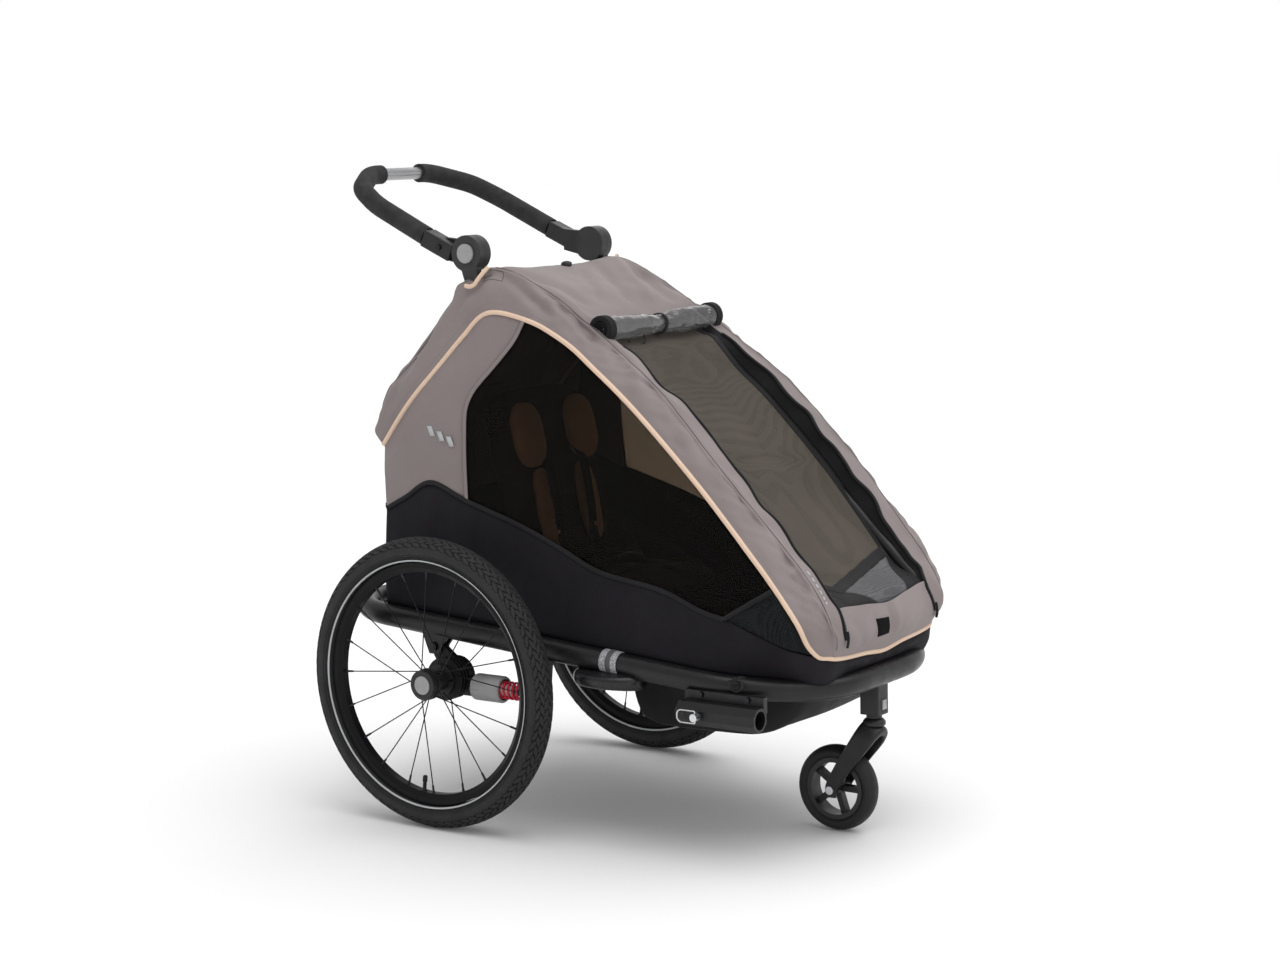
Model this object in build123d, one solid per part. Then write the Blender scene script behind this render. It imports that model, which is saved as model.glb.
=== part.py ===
from build123d import *
import math
import os

import numpy as np

os.makedirs("parts", exist_ok=True)

# Child bicycle trailer. Millimetres. X runs forward and is counted from the rear axle while modelling,
# Y runs to the left and Z up from the ground. Every part is moved back by MID_X when it is written, so
# that the origin is on the ground under the middle of the trailer. "side" is -1 for right, +1 for left.
MID_X = 192.744

# Rear wheels
WHEEL_R = 250.0
WHEEL_Y = 329.0
TYRE_SECTION_R = 24.0
TYRE_WALL = 4.0
RIM_INNER_R = 191.0
RIM_FLANGE_R = 207.9
SPOKES_PER_FLANGE = 10
SPOKE_R = 1.0
HUB_FACE_Y = 355.0
AXLE_R = 8.0
RUN = 0.05

# Base ring, which slopes down to the front
TUBE_R = 19.0
TUBE_WALL = 2.5
RING_HALF_WIDTH = 255.0
RING_FRONT_X = 688.0
RING_REAR_X = -252.0
RING_FRONT_CORNER = 190.0
RING_REAR_CORNER = 100.0
RING_SLOPE = 0.08
RING_LEVEL_X = 319.0
RING_LEVEL_Z = 304.0

# Swing arms
PIVOT_X, PIVOT_Z = -42.0, 298.0
ARM_Y = (251.5, 262.5)
BOSS_R = 37.0
SPRING_Z = 236.0
SPRING_Y = 262.0
SPRING_X = (82.0, 176.0)
SPRING_COIL_R = 14.5
SPRING_WIRE_R = 1.7
SPRING_TURNS = 8

# Folding frame
BOW_PIVOT_X, BOW_PIVOT_Z = 662.0, 324.0
BOW_Y = 146.0
BOW_R = 11.0
UPRIGHT_PIVOT_X, UPRIGHT_PIVOT_Z = -110.0, 384.0
UPRIGHT_Y = 211.0
UPRIGHT_R = 11.0
HINGE_PIN_R = 5.0
REAR_SHAFT_R = 8.0

# Handlebar
HANDLE_X, HANDLE_Z = -4.0, 969.0
HANDLE_Y = 181.0
HANDLE_TUBE_R = 11.0
GRIP_R = 17.0
DISC_R = 31.0

# Caster
CASTER_X, CASTER_R, CASTER_W = 602.6, 72.5, 38.0
STEM_X, STEM_R = 672.0, 8.0
BRACKET_X = (654.0, 690.0)
BRACKET_Z = (206.0, 290.0)

# Tow socket
SOCKET_X = (482.0, 630.0)
SOCKET_Y, SOCKET_Z = -290.0, 247.0
SOCKET_BORE_R = 15.0
SOCKET_BORE_LENGTH = 70.0
SOCKET_RELIEF_R = 16.5
LOCK_PIN_X, LOCK_PIN_R = 527.0, 4.0

# Cabin: the side fabric leans inwards as it rises
SIDE_Y, SIDE_Z, SIDE_LEAN = 252.0, 330.0, 0.066
FABRIC = 3.0

nodes = {}


def ring_z(x):
    """Height of the base ring's centre line."""
    return RING_LEVEL_Z - RING_SLOPE * (x - RING_LEVEL_X)


def cyl_x(x0, x1, y, z, r):
    return Pos((x0 + x1) / 2, y, z) * Rot(0, 90, 0) * Cylinder(r, abs(x1 - x0))


def cyl_y(x, y0, y1, z, r):
    return Pos(x, (y0 + y1) / 2, z) * Rot(90, 0, 0) * Cylinder(r, abs(y1 - y0))


def cyl_z(x, y, z0, z1, r):
    return Pos(x, y, (z0 + z1) / 2) * Cylinder(r, abs(z1 - z0))


def block(x, y, z):
    """Box between pairs of limits."""
    middle = Pos(sum(x) / 2, sum(y) / 2, sum(z) / 2)
    return middle * Box(abs(x[1] - x[0]), abs(y[1] - y[0]), abs(z[1] - z[0]))


def plate_xz(points, y0, y1):
    """Upright plate: an outline in X and Z, thick in Y."""
    face = Plane.XZ * make_face(Polyline(*points, close=True))
    return Pos(0, max(y0, y1), 0) * extrude(face, amount=abs(y1 - y0))


def both(make):
    """The same piece on the right and on the left, as one group of solids."""
    return Compound([solid for side in (-1, 1) for solid in make(side).solids()])


def tube(points, radii, outer, inner=0.0):
    """Round tube along straight runs joined by arcs."""
    path = FilletPolyline(*points, radius=radii)
    section = Circle(outer)
    if inner:
        section -= Circle(inner)
    return sweep(Plane(origin=path @ 0, z_dir=path % 0) * section, path=path)


def sheet(grid, thickness, open_cells=()):
    """Closed solid of even thickness about a grid of points; open cells are left out of it."""
    p = np.array(grid, float)
    along = np.gradient(p, axis=0)
    across = np.gradient(p, axis=1)
    normal = np.cross(along, across)
    normal /= np.linalg.norm(normal, axis=2, keepdims=True)
    top = p + normal * thickness / 2
    low = p - normal * thickness / 2
    rows, cols = p.shape[:2]
    cells = {(i, j) for i in range(rows - 1) for j in range(cols - 1)} - set(open_cells)
    faces = []

    def triangle(a, b, c):
        faces.append(Face(Wire.make_polygon([tuple(a), tuple(b), tuple(c)], close=True)))

    def quad(a, b, c, d):
        triangle(a, b, c)
        triangle(a, c, d)

    for i, j in cells:
        quad(top[i, j], top[i + 1, j], top[i + 1, j + 1], top[i, j + 1])
        quad(low[i, j], low[i, j + 1], low[i + 1, j + 1], low[i + 1, j])
        borders = (
            ((i - 1, j), (i, j), (i, j + 1)),
            ((i + 1, j), (i + 1, j), (i + 1, j + 1)),
            ((i, j - 1), (i, j), (i + 1, j)),
            ((i, j + 1), (i, j + 1), (i + 1, j + 1)),
        )
        for neighbour, a, b in borders:
            if neighbour not in cells:
                quad(top[a], top[b], low[b], low[a])
    return Solid(Shell(faces))


# ---------------------------------------------------------------- base frame
def ring_outline(offset=0.0):
    """Plan of the base ring's centre line, or of a line outside it by an offset."""
    length = RING_FRONT_X - RING_REAR_X + 2 * offset
    plan = Pos((RING_FRONT_X + RING_REAR_X) / 2, 0) * Rectangle(length, 2 * (RING_HALF_WIDTH + offset))
    plan = fillet(plan.vertices().group_by(Axis.X)[-1], RING_FRONT_CORNER + offset)
    return fillet(plan.vertices().group_by(Axis.X)[0], RING_REAR_CORNER + offset)


def ring(radius):
    plane = Plane(origin=(0, 0, ring_z(0)), x_dir=(1, 0, -RING_SLOPE), z_dir=(RING_SLOPE, 0, 1))
    wire = (plane * ring_outline()).wire()
    return sweep(Plane(origin=wire @ 0, z_dir=wire % 0) * Circle(radius), path=wire)


solid_ring = ring(TUBE_R)
nodes["base_frame"] = solid_ring - ring(TUBE_R - TUBE_WALL)


def cross_tube(x):
    bar = cyl_y(x, -RING_HALF_WIDTH, RING_HALF_WIDTH, ring_z(x), 11.0)
    bar -= cyl_y(x, -RING_HALF_WIDTH, RING_HALF_WIDTH, ring_z(x), 9.0)
    return bar - solid_ring


REAR_SHAFT_END = 234.0
rear_shaft = cyl_y(UPRIGHT_PIVOT_X, -REAR_SHAFT_END, REAR_SHAFT_END, UPRIGHT_PIVOT_Z, REAR_SHAFT_R)
cross_bars = [cross_tube(x) for x in (-170.0, -20.0, 270.0)]
nodes["cross_tubes"] = Compound([bar.solids().sort_by(SortBy.VOLUME)[-1] for bar in cross_bars])
nodes["fold_shaft"] = rear_shaft - cyl_y(UPRIGHT_PIVOT_X, -240, 240, UPRIGHT_PIVOT_Z, REAR_SHAFT_R - 2)


def hinge_bracket_rear(side):
    lug = block((UPRIGHT_PIVOT_X - 15, UPRIGHT_PIVOT_X + 15), (side * 226, side * 244), (330, 400))
    lug -= cyl_y(UPRIGHT_PIVOT_X, side * 220, side * REAR_SHAFT_END, UPRIGHT_PIVOT_Z, REAR_SHAFT_R + RUN)
    return (lug - solid_ring).solids().sort_by(SortBy.VOLUME)[-1]


BOW_LUG_Y = (159.0, 167.0)


def hinge_bracket_front(side):
    x0, x1 = BOW_PIVOT_X - 13, BOW_PIVOT_X + 13
    lug = block((x0, x1), (side * BOW_LUG_Y[0], side * BOW_LUG_Y[1]), (272, BOW_PIVOT_Z + 14))
    lug -= cyl_y(BOW_PIVOT_X, side * 140, side * 170, BOW_PIVOT_Z, HINGE_PIN_R + RUN)
    return (lug - solid_ring).solids().sort_by(Axis.Z)[-1]


nodes["hinge_brackets"] = Compound(
    [make(side) for make in (hinge_bracket_rear, hinge_bracket_front) for side in (-1, 1)]
)


def hinge_pin(side):
    pin = cyl_y(BOW_PIVOT_X, side * (BOW_Y - 12), side * BOW_LUG_Y[1], BOW_PIVOT_Z, HINGE_PIN_R)
    return pin + cyl_y(BOW_PIVOT_X, side * BOW_LUG_Y[1], side * (BOW_LUG_Y[1] + 4), BOW_PIVOT_Z, 8)



# ---------------------------------------------------------------- folding frame
def bow():
    half = [
        (BOW_PIVOT_X, BOW_Y, BOW_PIVOT_Z),
        (680, 146, 400),
        (620, 146, 458),
        (500, 146, 577),
        (385, 147, 696),
        (255, 149, 790),
        (130, 150, 868),
        (40, 146, 905),
    ]
    route = half + [(x, -y, z) for x, y, z in reversed(half)]
    radii = [40, 60, 120, 120, 120, 120, 40, 40, 120, 120, 120, 120, 60, 40]
    hoop = tube(route, radii, BOW_R, BOW_R - 2)
    for side in (-1, 1):
        eye = cyl_y(BOW_PIVOT_X, side * (BOW_Y - 11.5), side * (BOW_Y + 11.5), BOW_PIVOT_Z, 13)
        hoop += eye
    return hoop - cyl_y(BOW_PIVOT_X, -200, 200, BOW_PIVOT_Z, HINGE_PIN_R + RUN)


nodes["bow_hoop"] = bow()

NECK_X, NECK_Z = 9.0, 922.0


def upright(side):
    points = [
        (UPRIGHT_PIVOT_X, side * UPRIGHT_Y, UPRIGHT_PIVOT_Z),
        (-62, side * 202, 640),
        (NECK_X, side * 187.5, NECK_Z - 12),
    ]
    leg = tube(points, 200, UPRIGHT_R, UPRIGHT_R - 2)
    leg += cyl_y(UPRIGHT_PIVOT_X, side * 200, side * 222, UPRIGHT_PIVOT_Z, 14)
    return leg - cyl_y(UPRIGHT_PIVOT_X, side * 190, side * 240, UPRIGHT_PIVOT_Z, REAR_SHAFT_R + RUN)


nodes["upright_tubes"] = both(upright)

HUB_Y = (180.5, 195.0)
BUTTON_R = 16.5


def hub_housing(side):
    """Outer half of the handlebar joint, with a neck that takes the upright's top."""
    neck = make_hull(
        (Pos(HANDLE_X, HANDLE_Z) * Circle(19)).edges() + (Pos(NECK_X, NECK_Z - 14) * Circle(12)).edges()
    )
    body = Pos(0, max(side * HUB_Y[0], side * HUB_Y[1]), 0) * extrude(Plane.XZ * neck, amount=14.5)
    body += cyl_y(HANDLE_X, side * HUB_Y[0], side * HUB_Y[1], HANDLE_Z, DISC_R)
    body -= cyl_y(HANDLE_X, side * 188, side * 200, HANDLE_Z, BUTTON_R + 0.4)
    return body - nodes["upright_tubes"]


nodes["hub_housings"] = both(hub_housing)


# ---------------------------------------------------------------- handlebar
def handle_route():
    half = [
        (-78, HANDLE_Y, 986.5),
        (-212, 178, 1051),
        (-262, 158, 1078),
        (-304, 84, 1101),
    ]
    return half + [(x, -y, z) for x, y, z in reversed(half)]


HANDLE_BENDS = [120, 60, 80, 80, 60, 120]
handle_solid = tube(handle_route(), HANDLE_BENDS, HANDLE_TUBE_R)
nodes["handlebar_tube"] = tube(handle_route(), HANDLE_BENDS, HANDLE_TUBE_R, HANDLE_TUBE_R - 2)

GRIP_END_Y = 54.0
ARM_X, ARM_Z, ARM_LENGTH = -68.0, 982.0, 66.0


def along_arm(side):
    """Plane in the middle of a socket arm, X along the tube."""
    return Plane(origin=(ARM_X, side * HANDLE_Y, ARM_Z), x_dir=(118, 0, -53), z_dir=(53, 0, 118))


def grips():
    sleeve = tube(handle_route(), HANDLE_BENDS, GRIP_R, HANDLE_TUBE_R)
    sleeve -= block((-90, -500), (-GRIP_END_Y, GRIP_END_Y), (900, 1200))
    for side in (-1, 1):
        sleeve -= along_arm(side) * Box(ARM_LENGTH + 1, 60, 80)
    return Compound(sleeve.solids())


nodes["handle_grips"] = grips()

BLOCK_Y = (166.0, 196.0)


def handle_block(side):
    """Inner half of the joint, with the socket that holds the handlebar's end."""
    disc = cyl_y(HANDLE_X, side * 165, side * 180, HANDLE_Z, DISC_R)
    arm = along_arm(side) * Box(ARM_LENGTH, BLOCK_Y[1] - BLOCK_Y[0], 30)
    arm = fillet(arm.edges(), 3)
    arm -= cyl_y(HANDLE_X, side * 160, side * 200, HANDLE_Z, DISC_R + 1)
    web = plate_xz([(-4, 944), (-4, 990), (-60, 995), (-60, 957)], side * 166, side * 179.5)
    return (disc + web + arm) - handle_solid


nodes["handle_blocks"] = both(handle_block)


def block_bolt(side):
    outer = BLOCK_Y[1]
    return cyl_y(-62, side * outer, side * (outer + 3), 979.5, 5)


nodes["handle_bolts"] = both(block_bolt)


def handle_button(side):
    return cyl_y(HANDLE_X, side * 191.5, side * 198.5, HANDLE_Z, BUTTON_R)


# ---------------------------------------------------------------- suspension
def suspension_bracket(side):
    ears = []
    outline = [(-70, 330), (0, 330), (-24, 300), (-32, 285), (-52, 285), (-58, 300)]
    for y0, y1 in ((245.5, 251.0), (263.0, 268.5)):
        ears.append(plate_xz(outline, side * y0, side * y1))
    spring_stop = plate_xz([(176, 216), (176, 312), (200, 312), (190, 216)], side * 248, side * 276)
    stop_rod = cyl_x(136, 177, side * SPRING_Y, SPRING_Z, 6)
    body = (ears[0] + ears[1]) - solid_ring
    stop = (spring_stop - solid_ring).solids().sort_by(Axis.Z)[0] + stop_rod
    body -= cyl_y(PIVOT_X, side * 230, side * 280, PIVOT_Z, HINGE_PIN_R + RUN)
    low = [piece for piece in body.solids() if piece.center().Z < 312]
    return Compound(low + stop.solids())


nodes["suspension_brackets"] = both(suspension_bracket)


def pivot_bolt(side):
    shank = cyl_y(PIVOT_X, side * 245.5, side * 268.5, PIVOT_Z, HINGE_PIN_R)
    return shank + cyl_y(PIVOT_X, side * 268.5, side * 273, PIVOT_Z, 8)



def swing_arm(side):
    link = make_hull(
        (Pos(PIVOT_X, PIVOT_Z) * Circle(12)).edges() + (Pos(0, WHEEL_R) * Circle(24)).edges()
    )
    arm = Pos(0, max(side * ARM_Y[0], side * ARM_Y[1]), 0) * extrude(Plane.XZ * link, amount=11)
    arm += cyl_y(0, side * ARM_Y[0], side * 296, WHEEL_R, BOSS_R - 3)
    for rib in range(4):
        y = 268.0 + rib * 8.0
        arm += cyl_y(0, side * y, side * (y + 3), WHEEL_R, BOSS_R)
    arm += cyl_x(0, 44.5, side * SPRING_Y, SPRING_Z, 18)
    arm -= cyl_y(0, side * 240, side * 300, WHEEL_R, AXLE_R + RUN)
    return arm - cyl_y(PIVOT_X, side * 240, side * 280, PIVOT_Z, HINGE_PIN_R + RUN)


def spring_knob(side):
    knob = cyl_x(45, 105, side * SPRING_Y, SPRING_Z, 23)
    knob = fillet(knob.edges(), 4)
    knob -= cyl_x(80, 110, side * SPRING_Y, SPRING_Z, 18.5)
    for k in range(12):
        angle = math.radians(30 * k)
        y = side * SPRING_Y + 24.5 * math.cos(angle)
        knob -= cyl_x(45, 66, y, SPRING_Z + 24.5 * math.sin(angle), 2.6)
    return knob


def spring(side):
    start, end = SPRING_X
    length = end - start - 2 * SPRING_WIRE_R - 1
    helix = Helix(pitch=length / SPRING_TURNS, height=length, radius=SPRING_COIL_R)
    coil = sweep(Plane(origin=helix @ 0, z_dir=helix % 0) * Circle(SPRING_WIRE_R), path=helix)
    return Pos(start + SPRING_WIRE_R + 0.5, side * SPRING_Y, SPRING_Z) * Rot(0, 90, 0) * coil


def axle(side):
    """Stub axle with a shoulder against the arm and a bore for the release button's stem."""
    stub = cyl_y(0, side * 253, side * 343, WHEEL_R, AXLE_R)
    stub += cyl_y(0, side * 296, side * 299, WHEEL_R, 12)
    return stub - cyl_y(0, side * 316, side * 350, WHEEL_R, 3 + RUN)


def axle_button(side):
    button = cyl_y(0, side * 349, side * 356, WHEEL_R, 16)
    button = fillet(button.edges().group_by(Axis.Y)[0 if side < 0 else -1], 1.5)
    return button + cyl_y(0, side * 322, side * 349, WHEEL_R, 3)


# ---------------------------------------------------------------- rear wheels
def spun(profile, side):
    """Turn a half section, given as distance from the axle and distance out from the wheel's middle."""
    section = Plane(origin=(0, side * WHEEL_Y, WHEEL_R), x_dir=(1, 0, 0), z_dir=(0, 0, side)) * profile
    return revolve(section, axis=Axis((0, side * WHEEL_Y, WHEEL_R), (0, 1, 0)))


def tyre(side):
    centre = WHEEL_R - TYRE_SECTION_R
    section = Pos(centre, 0) * (Circle(TYRE_SECTION_R) - Circle(TYRE_SECTION_R - TYRE_WALL))
    section -= Pos(centre - 28, 0) * Rectangle(20, 60)
    return spun(section, side)


def rim(side):
    half = [(RIM_INNER_R, 7), (199, 13), (RIM_FLANGE_R, 13), (RIM_FLANGE_R, 11), (201, 10)]
    outline = half + [(r, -y) for r, y in reversed(half)]
    return spun(make_face(Polyline(*outline, close=True)), side)


FLANGE_R = 27.0
SPOKE_HEAD_R = 23.0
SPOKE_END_R = 193.0
FLANGES_Y = (304.5, 339.5)


def hub(side):
    body = cyl_y(0, side * 300, side * 346, WHEEL_R, 17)
    for y in FLANGES_Y:
        body += cyl_y(0, side * (y - 2.5), side * (y + 2.5), WHEEL_R, FLANGE_R)
    ring_end = cyl_y(0, side * 344, side * HUB_FACE_Y, WHEEL_R, 25.5)
    body += fillet(ring_end.edges().group_by(Axis.Y)[0 if side < 0 else -1], 2)
    body -= cyl_y(0, side * 290, side * 360, WHEEL_R, AXLE_R + RUN)
    return body - cyl_y(0, side * 345, side * 360, WHEEL_R, 16.6)


def spokes(side):
    made = []
    for flange, y in enumerate(FLANGES_Y):
        for k in range(SPOKES_PER_FLANGE):
            start = math.radians(36 * k + 18 * flange)
            turn = math.radians(36) if k % 2 == 0 else -math.radians(36)
            head_y = y + (1.3 if k % 2 == 0 else -1.3)
            a = Vector(SPOKE_HEAD_R * math.cos(start), side * head_y, WHEEL_R + SPOKE_HEAD_R * math.sin(start))
            rim_y = WHEEL_Y + (3.0 if flange else -3.0)
            b = Vector(
                SPOKE_END_R * math.cos(start + turn), side * rim_y, WHEEL_R + SPOKE_END_R * math.sin(start + turn)
            )
            rod = Plane(origin=a, z_dir=b - a) * Circle(SPOKE_R)
            made.append(extrude(rod, amount=(b - a).length))
    return Compound([solid for rod in made for solid in rod.solids()])


for name, make in (
    ("handle_button", handle_button),
    ("swing_arm", swing_arm),
    ("axle", axle),
    ("axle_button", axle_button),
    ("spring_knob", spring_knob),
    ("spring", spring),
    ("tyre", tyre),
    ("rim", rim),
    ("hub", hub),
    ("spokes", spokes),
):
    nodes[name + "_right"] = make(-1)
    nodes[name + "_left"] = make(1)


# ---------------------------------------------------------------- caster
def caster_bracket():
    body = block(BRACKET_X, (-17, 17), BRACKET_Z)
    body = fillet(body.edges().filter_by(Axis.Z), 3)
    body -= solid_ring
    body -= cyl_z(STEM_X, 0, BRACKET_Z[0] - 1, 253, STEM_R + RUN)
    body -= block((683.5, 700), (-6.2, 6.2), (214.8, 231.2))
    return body.solids().sort_by(SortBy.VOLUME)[-1]


nodes["caster_bracket"] = caster_bracket()
nodes["caster_button"] = block((687, 692.5), (-6, 6), (215, 231))


def caster_fork():
    leg = make_hull(
        (Pos(CASTER_X, CASTER_R) * Circle(11)).edges() + (Pos(STEM_X - 2, 182) * Circle(17)).edges()
    )
    fork = Pos(0, 28, 0) * extrude(Plane.XZ * leg, amount=56)
    fork -= cyl_y(CASTER_X, -21.5, 21.5, CASTER_R, CASTER_R + 8)
    fork -= block((CASTER_X - 30, STEM_X - 30), (-21.5, 21.5), (40, 260))
    fork -= cyl_y(CASTER_X, -40, 40, CASTER_R, 4 + RUN)
    fork -= cyl_z(STEM_X, 0, 150, 220, STEM_R + RUN)
    return fork.solids().sort_by(SortBy.VOLUME)[-1]


nodes["caster_fork"] = caster_fork()
nodes["caster_stem"] = cyl_z(STEM_X, 0, 176, 250, STEM_R) + cyl_z(STEM_X, 0, 199.2, 205.5, 13)


def caster_tyre():
    section = Pos(CASTER_R - 12, 0) * Ellipse(12, CASTER_W / 2)
    section -= Pos(CASTER_R - 12 - 15, 0) * Rectangle(14, 60)
    plane = Plane(origin=(CASTER_X, 0, CASTER_R), x_dir=(1, 0, 0), z_dir=(0, 0, 1))
    return revolve(plane * section, axis=Axis((CASTER_X, 0, CASTER_R), (0, 1, 0)))


def caster_wheel():
    rim_r = CASTER_R - 20.1
    wheel = cyl_y(0, -15, 15, 0, rim_r) - cyl_y(0, -20, 20, 0, rim_r - 8)
    wheel += cyl_y(0, -20.5, 20.5, 0, 11)
    for k in range(5):
        arm = Rot(0, 72 * k, 0) * block((8, rim_r - 5), (-7, 7), (-5, 5))
        wheel += arm
    wheel -= cyl_y(0, -30, 30, 0, 4 + RUN)
    return Pos(CASTER_X, 0, CASTER_R) * wheel


nodes["caster_tyre"] = caster_tyre()
nodes["caster_wheel"] = caster_wheel()
caster_axle = cyl_y(CASTER_X, -28, 28, CASTER_R, 4)
for side in (-1, 1):
    caster_axle += cyl_y(CASTER_X, side * 28, side * 32, CASTER_R, 7)
nodes["caster_axle"] = caster_axle


# ---------------------------------------------------------------- tow socket and rail fittings
FLANGE_TOP = 281.0
SCREW_Z = 275.0


def tow_socket():
    x0, x1 = SOCKET_X
    section = Plane(origin=(x0, SOCKET_Y, SOCKET_Z), x_dir=(0, 1, 0), z_dir=(1, 0, 0))
    body = extrude(section * RegularPolygon(20.5, 8, rotation=22.5), amount=x1 - x0)
    body += block((x0, x1), (-279, -268), (255, FLANGE_TOP)) - solid_ring
    body -= cyl_x(x1 - SOCKET_BORE_LENGTH, x1 + 5, SOCKET_Y, SOCKET_Z, SOCKET_BORE_R)
    body -= cyl_x(x0 + 6, x1 - SOCKET_BORE_LENGTH, SOCKET_Y, SOCKET_Z, SOCKET_RELIEF_R)
    body -= cyl_y(LOCK_PIN_X, -320, -260, SOCKET_Z, LOCK_PIN_R + RUN)
    return body.solids().sort_by(SortBy.VOLUME)[-1]


nodes["tow_socket"] = tow_socket()
screws = [cyl_y(x, -279, -282.5, SCREW_Z, 5).solids()[0] for x in (512.0, 600.0)]
nodes["frame_bolts"] = Compound(screws + both(hinge_pin).solids() + both(pivot_bolt).solids())
BAIL_WIRE_R = 1.2
HEAD_Y = (-326.0, -314.0)
pin = cyl_y(LOCK_PIN_X, -314, -266, SOCKET_Z, LOCK_PIN_R)
pin += cyl_y(LOCK_PIN_X, HEAD_Y[0], HEAD_Y[1], SOCKET_Z, 6.5)
pin -= cyl_z(LOCK_PIN_X, sum(HEAD_Y) / 2, 230, 260, BAIL_WIRE_R + RUN)
nodes["lock_pin"] = pin


def bail():
    y = sum(HEAD_Y) / 2
    route = [
        (LOCK_PIN_X, y, SOCKET_Z + 3),
        (LOCK_PIN_X, y, SOCKET_Z + 10),
        (LOCK_PIN_X - 34, y, SOCKET_Z + 10),
        (LOCK_PIN_X - 34, y, SOCKET_Z - 10),
        (LOCK_PIN_X, y, SOCKET_Z - 10),
        (LOCK_PIN_X, y, SOCKET_Z - 3),
    ]
    return tube(route, [2.5, 8, 8, 2.5], BAIL_WIRE_R)


nodes["pin_bail"] = bail()

D_RING_X, D_RING_Y, D_RING_Z = 578.0, -277.5, 302.0


def d_ring():
    x, y, z = D_RING_X, D_RING_Y, D_RING_Z
    bar = cyl_x(x - 12, x + 12, y, z, 1.8)
    bow_wire = tube(
        [(x - 12, y, z), (x - 12, y, z - 12), (x, y, z - 17), (x + 12, y, z - 12), (x + 12, y, z)],
        [7, 12, 7], 1.8
    )
    return bar + bow_wire + Pos(x - 12, y, z) * Sphere(1.8) + Pos(x + 12, y, z) * Sphere(1.8)


nodes["d_ring"] = d_ring()


def d_ring_loop():
    """Webbing loop that holds the ring's straight bar against the rail."""
    loop = cyl_x(D_RING_X - 9, D_RING_X + 9, D_RING_Y, D_RING_Z, 3.4)
    loop += block((D_RING_X - 9, D_RING_X + 9), (D_RING_Y, -262), (D_RING_Z, D_RING_Z + 3))
    loop -= solid_ring
    loop -= cyl_x(D_RING_X - 20, D_RING_X + 20, D_RING_Y, D_RING_Z, 1.8 + RUN)
    return loop.solids().sort_by(SortBy.VOLUME)[-1]


nodes["d_ring_loop"] = d_ring_loop()


def side_bumper(side):
    lobe = Pos(317, side * 262) * Ellipse(66, 34)
    body = Pos(0, 0, 262) * extrude(lobe, amount=28)
    body -= block((200, 450), (0, side * 246), (200, 400))
    return (body - solid_ring).solids().sort_by(SortBy.VOLUME)[-1]


nodes["side_bumpers"] = both(side_bumper)


def reflective_strap(side):
    centre = (306, side * RING_HALF_WIDTH, ring_z(306))
    plane = Plane(origin=centre, x_dir=(0, 1, 0), z_dir=(1, 0, -RING_SLOPE))
    band = extrude(plane * (Circle(TUBE_R + 1.9) - Circle(TUBE_R + 0.3)), amount=34)
    return band - block((290, 350), (side * 200, side * 300), (250, 293))


nodes["reflective_straps"] = both(reflective_strap)

# ---------------------------------------------------------------- floor and seat
FLOOR_X = (-190.0, 610.0)
FLOOR_RISE = (13.0, 16.0)
WELL = [(306, 300), (330, 205), (400, 190), (545, 200), (590, 240), (606, 290)]
WELL_INSIDE = [(309, 400), (309, 300), (333, 208), (400, 193), (544, 203), (587, 242), (603, 290), (603, 400)]


def floor_tub():
    """Floor sheet with a sunken footwell, hung inside the base ring."""
    lower = [(x, ring_z(x) + FLOOR_RISE[0]) for x in FLOOR_X]
    upper = [(x, ring_z(x) + FLOOR_RISE[1]) for x in reversed(FLOOR_X)]
    floor = plate_xz(lower + upper, -224, 224)
    floor &= Pos(0, 0, 100) * extrude(ring_outline(-31), amount=400)
    rim = [(x, ring_z(x) + FLOOR_RISE[0]) for x in (606, 306)]
    well = plate_xz(WELL + rim, -203, 203)
    well &= Pos(0, 0, 100) * extrude(ring_outline(-52), amount=400)
    hollow = plate_xz(WELL_INSIDE, -200, 200)
    hollow &= Pos(0, 0, 100) * extrude(ring_outline(-55), amount=400)
    return floor + well - hollow


nodes["floor_tub"] = floor_tub()

SEAT_HALF = 160.0


def soft_block(x, y, z, radius):
    body = block(x, y, z)
    return fillet(body.edges(), radius)


nodes["seat_base"] = soft_block((95, 300), (-SEAT_HALF, SEAT_HALF), (366, 412), 16)
BACK = Plane(origin=(52, 0, 400), x_dir=(0, 1, 0), z_dir=(-0.23, 0, 1))


def on_back(width, depth, height, y, rise, out, radius):
    """Soft block on the seat back's plane: rise is along the back and out is in front of it."""
    body = fillet(Box(width, depth, height).edges(), radius)
    return BACK * Pos(y, -out, rise + height / 2) * body


nodes["seat_back"] = on_back(2 * SEAT_HALF, 36, 340, 0, 6, 0, 14)
wings = [on_back(70, 30, 120, side * 78, 210, 34.5, 12) for side in (-1, 1)]
nodes["headrest"] = Compound([wing.solids()[0] for wing in wings])
pads = [on_back(52, 22, 150, side * 52, 40, 30.5, 9) for side in (-1, 1)]
nodes["shoulder_pads"] = Compound([pad.solids()[0] for pad in pads])
strap_parts = [on_back(26, 2.4, 300, side * 138, 20, 20, 0.9) for side in (-1, 1)]
nodes["harness_straps"] = Compound([strap.solids()[0] for strap in strap_parts])

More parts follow.
